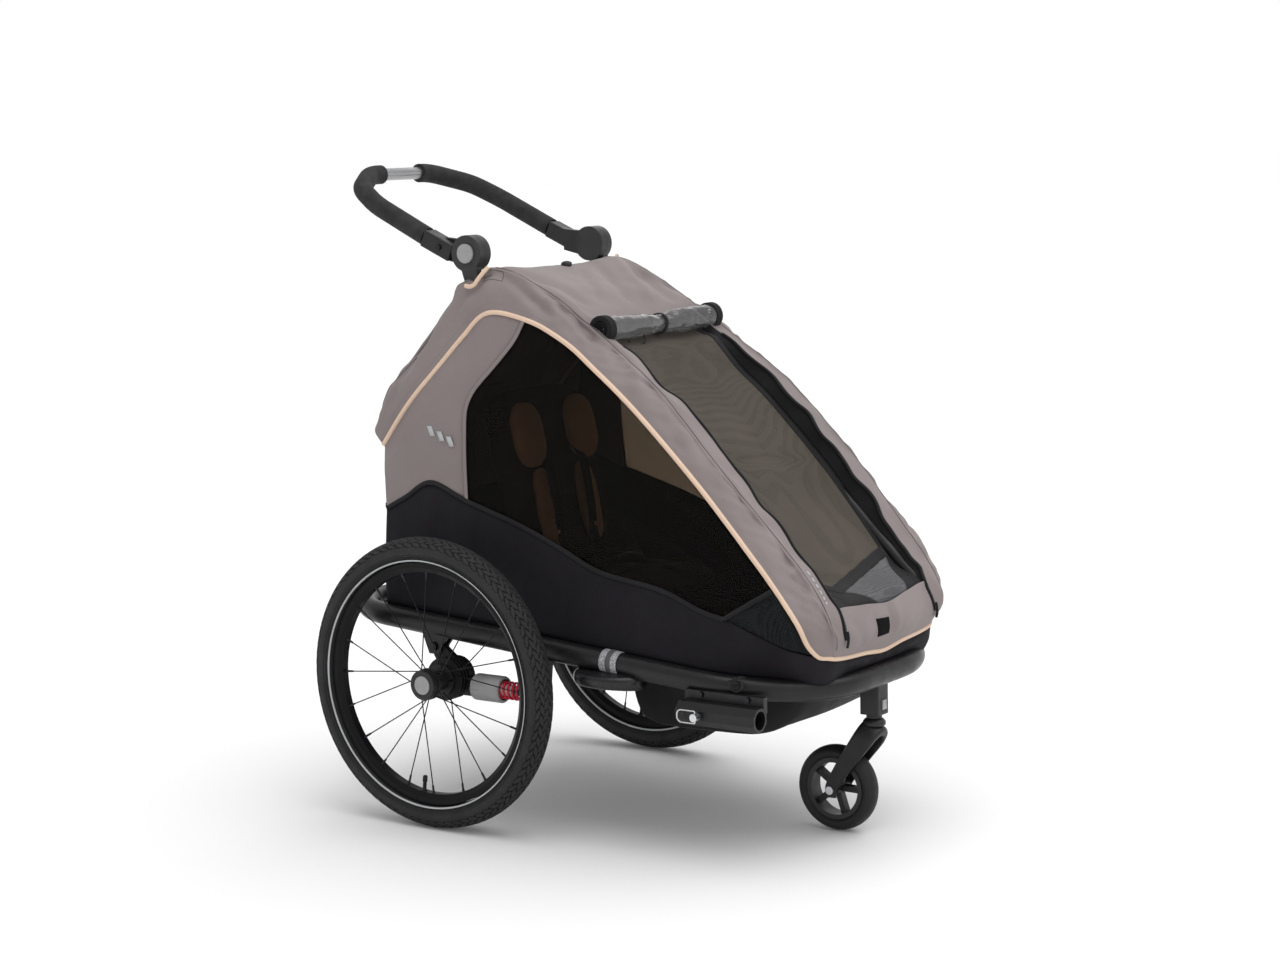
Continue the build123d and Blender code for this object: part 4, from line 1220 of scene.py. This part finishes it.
def build_tyre(name, side):
    steps = 1176
    outer = list(np.linspace(-130, 130, 76))
    inner = list(np.linspace(150, 210, 6))
    verts = []
    centre_r = WHEEL_R - SECTION_R
    cols = len(outer) + len(inner)
    for k in range(steps):
        theta = 2 * math.pi * k / steps
        for j, degrees in enumerate(outer + inner):
            phi = math.radians(degrees)
            squeeze = 1.0 - 0.10 * max(0.0, abs(degrees) - 95) / 35
            r = SECTION_R * squeeze - groove(theta, degrees)
            high, wide = (r, r) if j < len(outer) else (17.5, 15)
            d = centre_r + high * math.cos(phi)
            y = side * WHEEL_Y + wide * math.sin(phi)
            verts.append((d * math.cos(theta), y, WHEEL_R + d * math.sin(theta)))
    piece = make("tyre_tread_" + name, verts, grid_faces(steps, cols, closed_rows=True, closed_cols=True),
                 "tyre", "wheel_" + name)
    # Deep groove faces take the darker rubber, as painted shade in the grooves.
    piece.data.materials.append(M["groove"])
    for face in piece.data.polygons:
        i, j = divmod(face.vertices[0], cols)
        if j < len(outer) and groove(2 * math.pi * (i + 0.5) / steps, outer[j] + 1.7) > 0.45 * GROOVE_DEPTH:
            face.material_index = 1
    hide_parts("tyre_" + name)
    line = [(211.0, 19.4), (212.2, 20.3), (213.6, 21.2), (213.2, 21.6), (211.8, 20.9), (210.6, 19.9)]
    rings = [("stripe", line)]
    for radius in (217.5, 221.5):
        depth = math.sqrt(SECTION_R**2 - (radius - centre_r) ** 2)
        bead = [(radius - 0.7, depth - 0.4), (radius, depth + 0.55), (radius + 0.7, depth - 0.2)]
        rings.append(("tyre", bead))
    lines = []
    for mat, section in rings:
        for out in (-1, 1):
            profile = [(r, out * y) for r, y in section]
            lines.append(spun("line_%s_%d" % (name, len(lines)), profile, (0, side * WHEEL_Y, WHEEL_R), mat,
                              "wheel_" + name, 180))
    join(lines, "tyre_line_" + name)


SPOKES_PER_FLANGE, SPOKE_HEAD_R, SPOKE_END_R = 10, 23.0, 193.0
FLANGES_Y = (304.5, 339.5)
VALVE_ANGLE = math.radians(-97)


def on_wheel(r, angle, y):
    return np.array([r * math.cos(angle), y, WHEEL_R + r * math.sin(angle)])


def build_nipples(name, side):
    parts = []
    for flange, y in enumerate(FLANGES_Y):
        for k in range(SPOKES_PER_FLANGE):
            start = math.radians(36 * k + 18 * flange)
            way = 1 if k % 2 == 0 else -1
            a = on_wheel(SPOKE_HEAD_R, start, side * (y + 1.3 * way))
            end_y = side * (WHEEL_Y + (3 if flange else -3))
            b = on_wheel(SPOKE_END_R, start + way * math.radians(36), end_y)
            along = (b - a) / np.linalg.norm(b - a)
            line = [b - along * d for d in (17, 15, 13, 6, 4, -1)]
            size = (1.1, 1.7, 1.9, 1.9, 2.6, 2.6)
            parts.append(tube_along("nipple_%s_%d_%d" % (name, flange, k), line, 1.0, "dark_steel",
                                    "wheel_" + name, 10, taper=lambda t: size[round(t * 5)]))
            head = [a - along * 3, a, a + along * 4]
            parts.append(tube_along("head_%s_%d_%d" % (name, flange, k), head, 2.1, "dark_steel",
                                    "wheel_" + name, 10))
    line = [on_wheel(r, VALVE_ANGLE, side * WHEEL_Y) for r in (193, 190, 189, 176, 175, 166, 164.5)]
    size = (5.5, 5.5, 3.4, 3.2, 4.2, 4.0, 2.6)
    parts.append(tube_along("valve_" + name, line, 1.0, "rubber_cap", "wheel_" + name, 16,
                            taper=lambda t: size[round(t * 6)]))
    join(parts, "nipples_and_valve_" + name)


for wheel_name, wheel_side in SIDES:
    build_tyre(wheel_name, wheel_side)
    build_nipples(wheel_name, wheel_side)

# ---------------------------------------------------------------- caster fork
FORK_ROUTE = [(602.6, 25.4, 60), (603.5, 25.4, 78), (622, 25.6, 108), (642, 25.6, 136), (658, 25, 158),
              (668, 19, 174), (672, 8, 182)]
FORK_WIDTH = [(0, 19), (0.16, 23), (0.5, 30), (0.8, 36), (1, 38)]
FORK_THICK = [(0, 6.4), (0.5, 7.2), (0.78, 10), (1, 18)]


def build_fork():
    """Two legs that curve up into one crown, drawn as a flat strap along a route."""
    half = even(catmull(FORK_ROUTE, 10), 60)
    route = np.vstack([half, mirrored(half, -1)[::-1]])
    share = np.minimum(np.linspace(0, 2, 120), 2 - np.linspace(0, 2, 120))
    width = np.interp(share, *zip(*FORK_WIDTH))
    thick = np.interp(share, *zip(*FORK_THICK))
    tangents = np.gradient(route, axis=0)
    tangents /= np.linalg.norm(tangents, axis=1, keepdims=True)
    verts = []
    for p, t, w, d in zip(route, tangents, width, thick):
        across = np.array([0.88, 0, -0.475])
        across -= t * np.dot(across, t)
        across /= np.linalg.norm(across)
        out = np.cross(t, across)
        for k in range(28):
            a = 2 * math.pi * k / 28
            c, s = math.cos(a), math.sin(a)
            u = math.copysign(abs(c) ** 0.55, c) * w / 2
            v = math.copysign(abs(s) ** 0.55, s) * d / 2
            verts.append(p + across * u + out * v)
    faces = grid_faces(120, 28, closed_cols=True)
    faces += [tuple(range(28))[::-1], tuple(119 * 28 + k for k in range(28))]
    fork = make("caster_fork_curved", verts, faces, "plastic", "caster")
    apply_modifier(fork, "BEVEL", width=0.0012, segments=2, limit_method="ANGLE",
                   angle_limit=math.radians(50))
    collar = [(0.1, 0), (17, 0), (19, 2), (19, 7), (16, 11), (12, 12.5), (0.1, 12.5)]
    cap = turned("caster_fork_cap", collar, (672, 0, 186), "plastic", 48, "caster")
    fork = join([fork, cap], "caster_fork_curved")
    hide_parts("caster_fork")


build_fork()

# ---------------------------------------------------------------- springs
SPRING_Y, SPRING_Z, SPRING_X = 262.0, 236.0, (80.0, 176.0)
SPRING_COIL_R, SPRING_WIRE_R, SPRING_TURNS = 13.6, 2.2, 10.5


def build_spring(name, side):
    count = 420
    t = np.linspace(0, 1, count)
    closing = np.clip(t / 0.1, 0, 1) * np.clip((1 - t) / 0.1, 0, 1)
    run = np.cumsum(0.35 + 0.65 * closing)
    run = (run - run[0]) / (run[-1] - run[0])
    a = 2 * math.pi * SPRING_TURNS * t
    x = SPRING_X[0] + SPRING_WIRE_R + run * (SPRING_X[1] - SPRING_X[0] - 2 * SPRING_WIRE_R)
    line = np.stack([x, side * SPRING_Y + SPRING_COIL_R * np.cos(a), SPRING_Z + SPRING_COIL_R * np.sin(a)], 1)
    coil = tube_along("coil_spring_" + name, line, SPRING_WIRE_R, "spring", None, 12)
    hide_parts("spring_" + name)
    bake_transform(coil)
    guide = [(7.2, -22), (10.4, -22), (10.8, -20), (10.8, 20), (10.0, 22), (7.2, 22)]
    centre = (104, side * SPRING_Y, SPRING_Z)
    spun("spring_guide_" + name, guide, centre, "guide", "arm_" + name, 40, axis="x")


for spring_name, spring_side in SIDES:
    build_spring(spring_name, spring_side)


# ---------------------------------------------------------------- seat cushions
def pad_mesh(name, centre, size, tilt, mat, corner=5.0):
    """A soft pad before its simulation. corner rounds its outline: 2 is an oval and 8 nearly square."""
    bm = bmesh.new()
    bmesh.ops.create_cube(bm, size=2)
    bmesh.ops.subdivide_edges(bm, edges=bm.edges[:], cuts=13, use_grid_fill=True)
    thin = int(np.argmin(size))
    for v in bm.verts:
        a, b = (abs(v.co[k]) for k in range(3) if k != thin)
        outline = (a**corner + b**corner) ** (1 / corner)
        v.co /= max(1e-6, (outline**3.2 + abs(v.co[thin]) ** 3.2) ** (1 / 3.2))
    lean = math.radians(tilt)
    verts = []
    for v in bm.verts:
        x, y, z = (v.co[k] * size[k] / 2 for k in range(3))
        verts.append((centre[0] + x * math.cos(lean) - z * math.sin(lean), centre[1] + y,
                      centre[2] + x * math.sin(lean) + z * math.cos(lean)))
    faces = [tuple(v.index for v in f.verts) for f in bm.faces]
    bm.free()
    obj = make(name, verts, faces, mat, None)
    return apply_modifier(obj, "REMESH", mode="VOXEL", voxel_size=0.006)


def inflate(obj, cap, pressure=4.0):
    """Blows the pad up as cloth and applies it; no point moves further than cap millimetres."""
    before = np.array([v.co for v in obj.data.vertices])
    m = obj.modifiers.new("cloth", "CLOTH")
    s = m.settings
    s.use_pressure = True
    s.uniform_pressure_force = pressure
    s.effector_weights.gravity = 0
    s.quality = 5
    s.mass = 0.3
    s.tension_stiffness = s.compression_stiffness = 20
    s.bending_stiffness = 0.8
    scene = bpy.context.scene
    for frame_number in range(1, 21):
        scene.frame_set(frame_number)
    graph = bpy.context.evaluated_depsgraph_get()
    mesh = bpy.data.meshes.new_from_object(obj.evaluated_get(graph))
    obj.modifiers.clear()
    scene.frame_set(1)
    after = np.array([v.co for v in mesh.vertices])
    step = after - before
    length = np.linalg.norm(step, axis=1, keepdims=True)
    step *= np.minimum(1, cap * MM / np.maximum(length, 1e-9))
    obj.data = mesh
    mesh.vertices.foreach_set("co", (before + step).astype(np.float32).ravel())
    mesh.update()
    return obj


def quilt(obj, lines, depth, half_width):
    """Sewn channels: each line is a point and a direction across it, in millimetres."""
    mesh = obj.data
    co = np.array([v.co for v in mesh.vertices])
    normals = np.array([v.normal for v in mesh.vertices])
    for point, across in lines:
        across = np.array(across, float) / np.linalg.norm(across)
        distance = (co - place(point)) @ across / MM
        co = co - normals * (depth * MM * np.exp(-((distance / half_width) ** 2)))[:, None]
    mesh.vertices.foreach_set("co", co.astype(np.float32).ravel())
    mesh.update()
    return obj


def finish_pad(obj, name):
    apply_modifier(obj, "SUBSURF", levels=1)
    shade_smooth(obj.data)
    obj.name = name
    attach(obj, "chassis")
    return obj


BACK_X, BACK_Z, BACK_LEAN = 52.0, 400.0, 0.23


def on_back(y, rise, out):
    """A point by its height along the seat back and its distance in front of it."""
    scale = math.hypot(1, BACK_LEAN)
    return (BACK_X + (out - BACK_LEAN * rise) / scale, y, BACK_Z + (rise + BACK_LEAN * out) / scale)


def build_seat():
    tilt = math.degrees(math.atan(BACK_LEAN))
    base = inflate(pad_mesh("seat_base_start", (197, 0, 388), (196, 308, 32), 0, "seat"), 8)
    quilt(base, [((x, 0, 400), (1, 0, 0)) for x in (150, 205, 258)], 3.5, 5)
    finish_pad(base, "seat_base_cushion")
    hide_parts("seat_base")
    back = inflate(pad_mesh("seat_back_start", on_back(0, 176, 0), (24, 306, 328), tilt, "seat"), 7)
    lines = [(on_back(0, rise, 0), (-BACK_LEAN, 0, 1)) for rise in (70, 130, 190, 250, 305)]
    quilt(back, lines, 3.0, 4.5)
    finish_pad(back, "seat_back_cushion")
    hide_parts("seat_back")
    folds(back)
    for title, node_name, y, rise, size, cap, slot in (
        ("headrest_wings", "headrest", 78, 246, (26, 82, 118), 6, "tan_padding"),
        ("shoulder_padding", "shoulder_pads", 62, 112, (18, 58, 150), 5, "tan_padding"),
    ):
        out = 34.5 if node_name == "headrest" else 30.5
        pad = inflate(pad_mesh(title + "_start", on_back(y, rise, out), size, tilt, "tan", 2.6), cap)
        apply_modifier(pad, "SUBSURF", levels=1)
        twin = pad.copy()
        twin.data = pad.data.copy()
        bpy.context.scene.collection.objects.link(twin)
        for v in twin.data.vertices:
            v.co.y = -v.co.y
        twin.data.flip_normals()
        both = join([pad, twin], title)
        shade_smooth(both.data)
        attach(both, "chassis")
        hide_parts(node_name)
        folds(both)
    build_harness()


def strap(name, points, out, width):
    return ribbon(name, smooth_line(points, 60), out, width, 1.3, "webbing")


def build_harness():
    parts = []
    for name, side in SIDES:
        points = [on_back(side * 52, 232, 18), on_back(side * 52, 190, 44), on_back(side * 50, 110, 44),
                  on_back(side * 46, 40, 42), (150, side * 22, 434), (184, side * 6, 430)]
        parts.append(strap("shoulder_" + name, points, (0.9, 0, 0.3), 24))
        points = [on_back(side * 138, 60, 20), (110, side * 120, 430), (150, side * 70, 425),
                  (182, side * 16, 428)]
        parts.append(strap("waist_" + name, points, (0.3, 0, 0.95), 24))
    crotch = [(292, 0, 414), (262, 0, 420), (225, 0, 424), (200, 0, 428)]
    parts.append(strap("crotch", crotch, (0, 0, 1), 30))
    harness = join(parts, "harness_webbing")
    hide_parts("harness_straps")
    folds(harness)
    buckle = [(0.1, -7), (17, -7), (21, -5), (22, 0), (20, 5), (14, 7), (12, 8.5), (0.1, 8.5)]
    folds(turned("harness_buckle", buckle, (190, 0, 431), "plastic", 40, stretch=1.15))


build_seat()

# ---------------------------------------------------------------- floor tub
WELL_FLOOR_Z, WELL_SIDE_Y = 192.0, 201.0


# How deep the cloth hangs along X, as a share of the footwell's depth.
TUB_DEPTH = [(-186, 0), (-60, 0), (90, 0), (240, 0), (300, 0), (314, 0.12), (334, 0.8), (356, 0.97), (400, 1),
             (470, 1), (555, 0.97), (595, 0.78), (622, 0.42), (640, 0.1), (644, 0)]


def build_tub():
    """The floor cloth hangs from the ring and dips into the footwell."""
    rows = []
    for x, depth in TUB_DEPTH:
        top = ring_z(x) + 14
        front = max(0.0, x - RING_CORNER_X)
        corner = math.sqrt(max(400.0, (RING_CORNER_R - 32) ** 2 - front**2))
        reach = RING_CORNER_Y + corner if front else 222.0
        well = min(WELL_SIDE_Y, reach - 20)
        low = top + (WELL_FLOOR_Z - top) * depth
        half = [(x, reach, top), (x, (reach + well) / 2, top), (x, well, top - 2),
                (x, well - 3, (top + low) / 2), (x, well - 10, low + 3 * depth),
                (x, well * 0.6, low - 2 * depth), (x, well * 0.3, low - 4 * depth)]
        right = [(a, -b, c) for a, b, c in half]
        rows.append(right + [(x, 0, low - 5 * depth)] + half[::-1])
    g = rumple(smooth_grid(rows, 6, 5), 1.2, 3.0, 5.0, 0.4, 91.0, 0.05)
    tub = surface("floor_cloth", g, "tub", 2.0)
    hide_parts("floor_tub")


build_tub()


# ---------------------------------------------------------------- bumpers and small straps on the rail
RAIL_Y = 255.0
BAND_X = (310.0, 344.0)
BUMPER_X, BUMPER_REACH, BUMPER_HALF_LENGTH = 317.0, (246.5, 296.0), 66.0
BUMPER_Z = (262.0, 290.0)


def build_bumpers():
    """Rounded lobes under the rail that keep the wheels off."""
    made = []
    low, high = BUMPER_Z
    for name, side in SIDES:
        rows = []
        for s in np.linspace(-1, 1, 19):
            size = max(0.02, (1 - abs(s) ** 3) ** (1 / 2.4))
            row = []
            for k in range(49):
                a = math.pi * (k / 48 - 0.5)
                x = BUMPER_X + BUMPER_HALF_LENGTH * (0.8 + 0.2 * size) * math.sin(a)
                y = BUMPER_REACH[0] + (BUMPER_REACH[1] - BUMPER_REACH[0]) * size * math.cos(a) ** 0.8
                row.append((x, side * y, (low + high) / 2 + s * (high - low) / 2))
            rows.append(row)
        made.append(surface("bumper_" + name, rows, "bumper", 3.0))
    piece = join(made, "rail_bumpers")
    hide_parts("side_bumpers")


build_bumpers()


def build_rail_straps():
    parts = []
    for name, side in SIDES:
        first, last = (-40, 248) if side > 0 else (-68, 220)
        turns = np.radians(np.linspace(first, last, 50))
        for title, xs, over, mat, thick in (
            ("band_", np.linspace(*BAND_X, 12), 1.3, "reflective", 1.2),
            ("band_stripe_", np.linspace(BAND_X[0] + 13, BAND_X[0] + 22, 4), 2.2, "band_grey", 0.8),
        ):
            r = TUBE_R + over
            rows = [[(x, side * RAIL_Y + r * math.cos(a), ring_z(x) + r * math.sin(a)) for a in turns]
                    for x in xs]
            parts.append(surface(title + name, rows, mat, thick))
    band = join(parts, "reflective_bands")
    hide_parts("reflective_straps")
    x, y, z = 578.0, -277.5, 302.0
    loop = [(x, y - 4.2, z - 1), (x, y - 3.6, z + 3.4), (x, y, z + 5.2), (x, y + 6, z + 4.6),
            (x, y + 13, z + 3.0), (x, y + 20, z + 4)]
    line = smooth_line(loop, 30)
    out = np.cross(np.gradient(line, axis=0), (1, 0, 0))
    out /= -np.linalg.norm(out, axis=1, keepdims=True)
    strap_loop = ribbon("ring_webbing", line, out, 12, 1.2, "webbing")
    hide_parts("d_ring_loop")


build_rail_straps()

# ---------------------------------------------------------------- own meshes for the soft pieces, light and camera
for soft_piece in FOLDING:
    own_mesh(soft_piece)


def build_stage():
    mesh = bpy.data.meshes.new("floor")
    size = 40
    corners = [(-size, -size, 0), (size, -size, 0), (size, size, 0), (-size, size, 0)]
    mesh.from_pydata(corners, [], [(0, 1, 2, 3)])
    ground = bpy.data.objects.new("floor", mesh)
    ground.location.z = -0.0005
    bpy.context.scene.collection.objects.link(ground)
    mesh.materials.append(material("floor_white", (0.86, 0.86, 0.86), 0.9))
    world = bpy.data.worlds.new("studio")
    bpy.context.scene.world = world
    world.use_nodes = True
    tree = world.node_tree
    direction = tree.nodes.new("ShaderNodeTexCoord")
    split = tree.nodes.new("ShaderNodeSeparateXYZ")
    sky = tree.nodes.new("ShaderNodeValToRGB")
    tree.links.new(direction.outputs["Generated"], split.inputs["Vector"])
    tree.links.new(split.outputs["Z"], sky.inputs["Fac"])
    tree.links.new(sky.outputs["Color"], tree.nodes["Background"].inputs["Color"])
    low, high = sky.color_ramp.elements
    low.position, low.color = 0.09, (1, 1, 1, 1)
    high.position, high.color = 0.42, (0.6, 0.6, 0.6, 1)
    bpy.context.scene.view_settings.view_transform = "Standard"


def overhead_light():
    """A very large soft source overhead, so the floor is lit evenly."""
    data = bpy.data.lights.new("overhead", "SUN")
    data.energy = 1.95
    data.angle = math.radians(70)
    obj = bpy.data.objects.new("overhead", data)
    obj.rotation_euler = (math.radians(-7), math.radians(13), 0)
    bpy.context.scene.collection.objects.link(obj)


def area_light(name, position, target, size, power):
    data = bpy.data.lights.new(name, "AREA")
    data.shape = "RECTANGLE"
    data.size, data.size_y = size
    data.energy = power
    obj = bpy.data.objects.new(name, data)
    obj.location = position
    obj.rotation_euler = (Vector(target) - Vector(position)).to_track_quat("-Z", "Y").to_euler()
    bpy.context.scene.collection.objects.link(obj)


CAMERA_AT = (AXLE_X + 2.7357, -3.6752, 1.1731)
AZIMUTH, ELEVATION, ROLL, LENS = 34.48, 7.72, -1.23, 72.86


def build_camera():
    a, e, roll = (math.radians(x) for x in (AZIMUTH, ELEVATION, ROLL))
    back = Vector((math.sin(a) * math.cos(e), -math.cos(a) * math.cos(e), math.sin(e)))
    right = Vector((math.cos(a), math.sin(a), 0))
    up = back.cross(right)
    x_axis = right * math.cos(roll) + up * math.sin(roll)
    y_axis = up * math.cos(roll) - right * math.sin(roll)
    data = bpy.data.cameras.new("camera")
    data.lens = LENS
    data.sensor_width = 36
    camera = bpy.data.objects.new("camera", data)
    turn = Matrix((x_axis, y_axis, back)).transposed()
    camera.matrix_world = Matrix.Translation(CAMERA_AT) @ turn.to_4x4()
    bpy.context.scene.collection.objects.link(camera)
    bpy.context.scene.camera = camera


build_stage()
overhead_light()
area_light("key", (3.8, -1.6, 2.6), (0, 0, 0.4), (2.2, 1.8), 9)
area_light("rim", (-1.5, 3.8, 2.6), (0, 0, 0.5), (2.4, 2.0), 14)
build_camera()
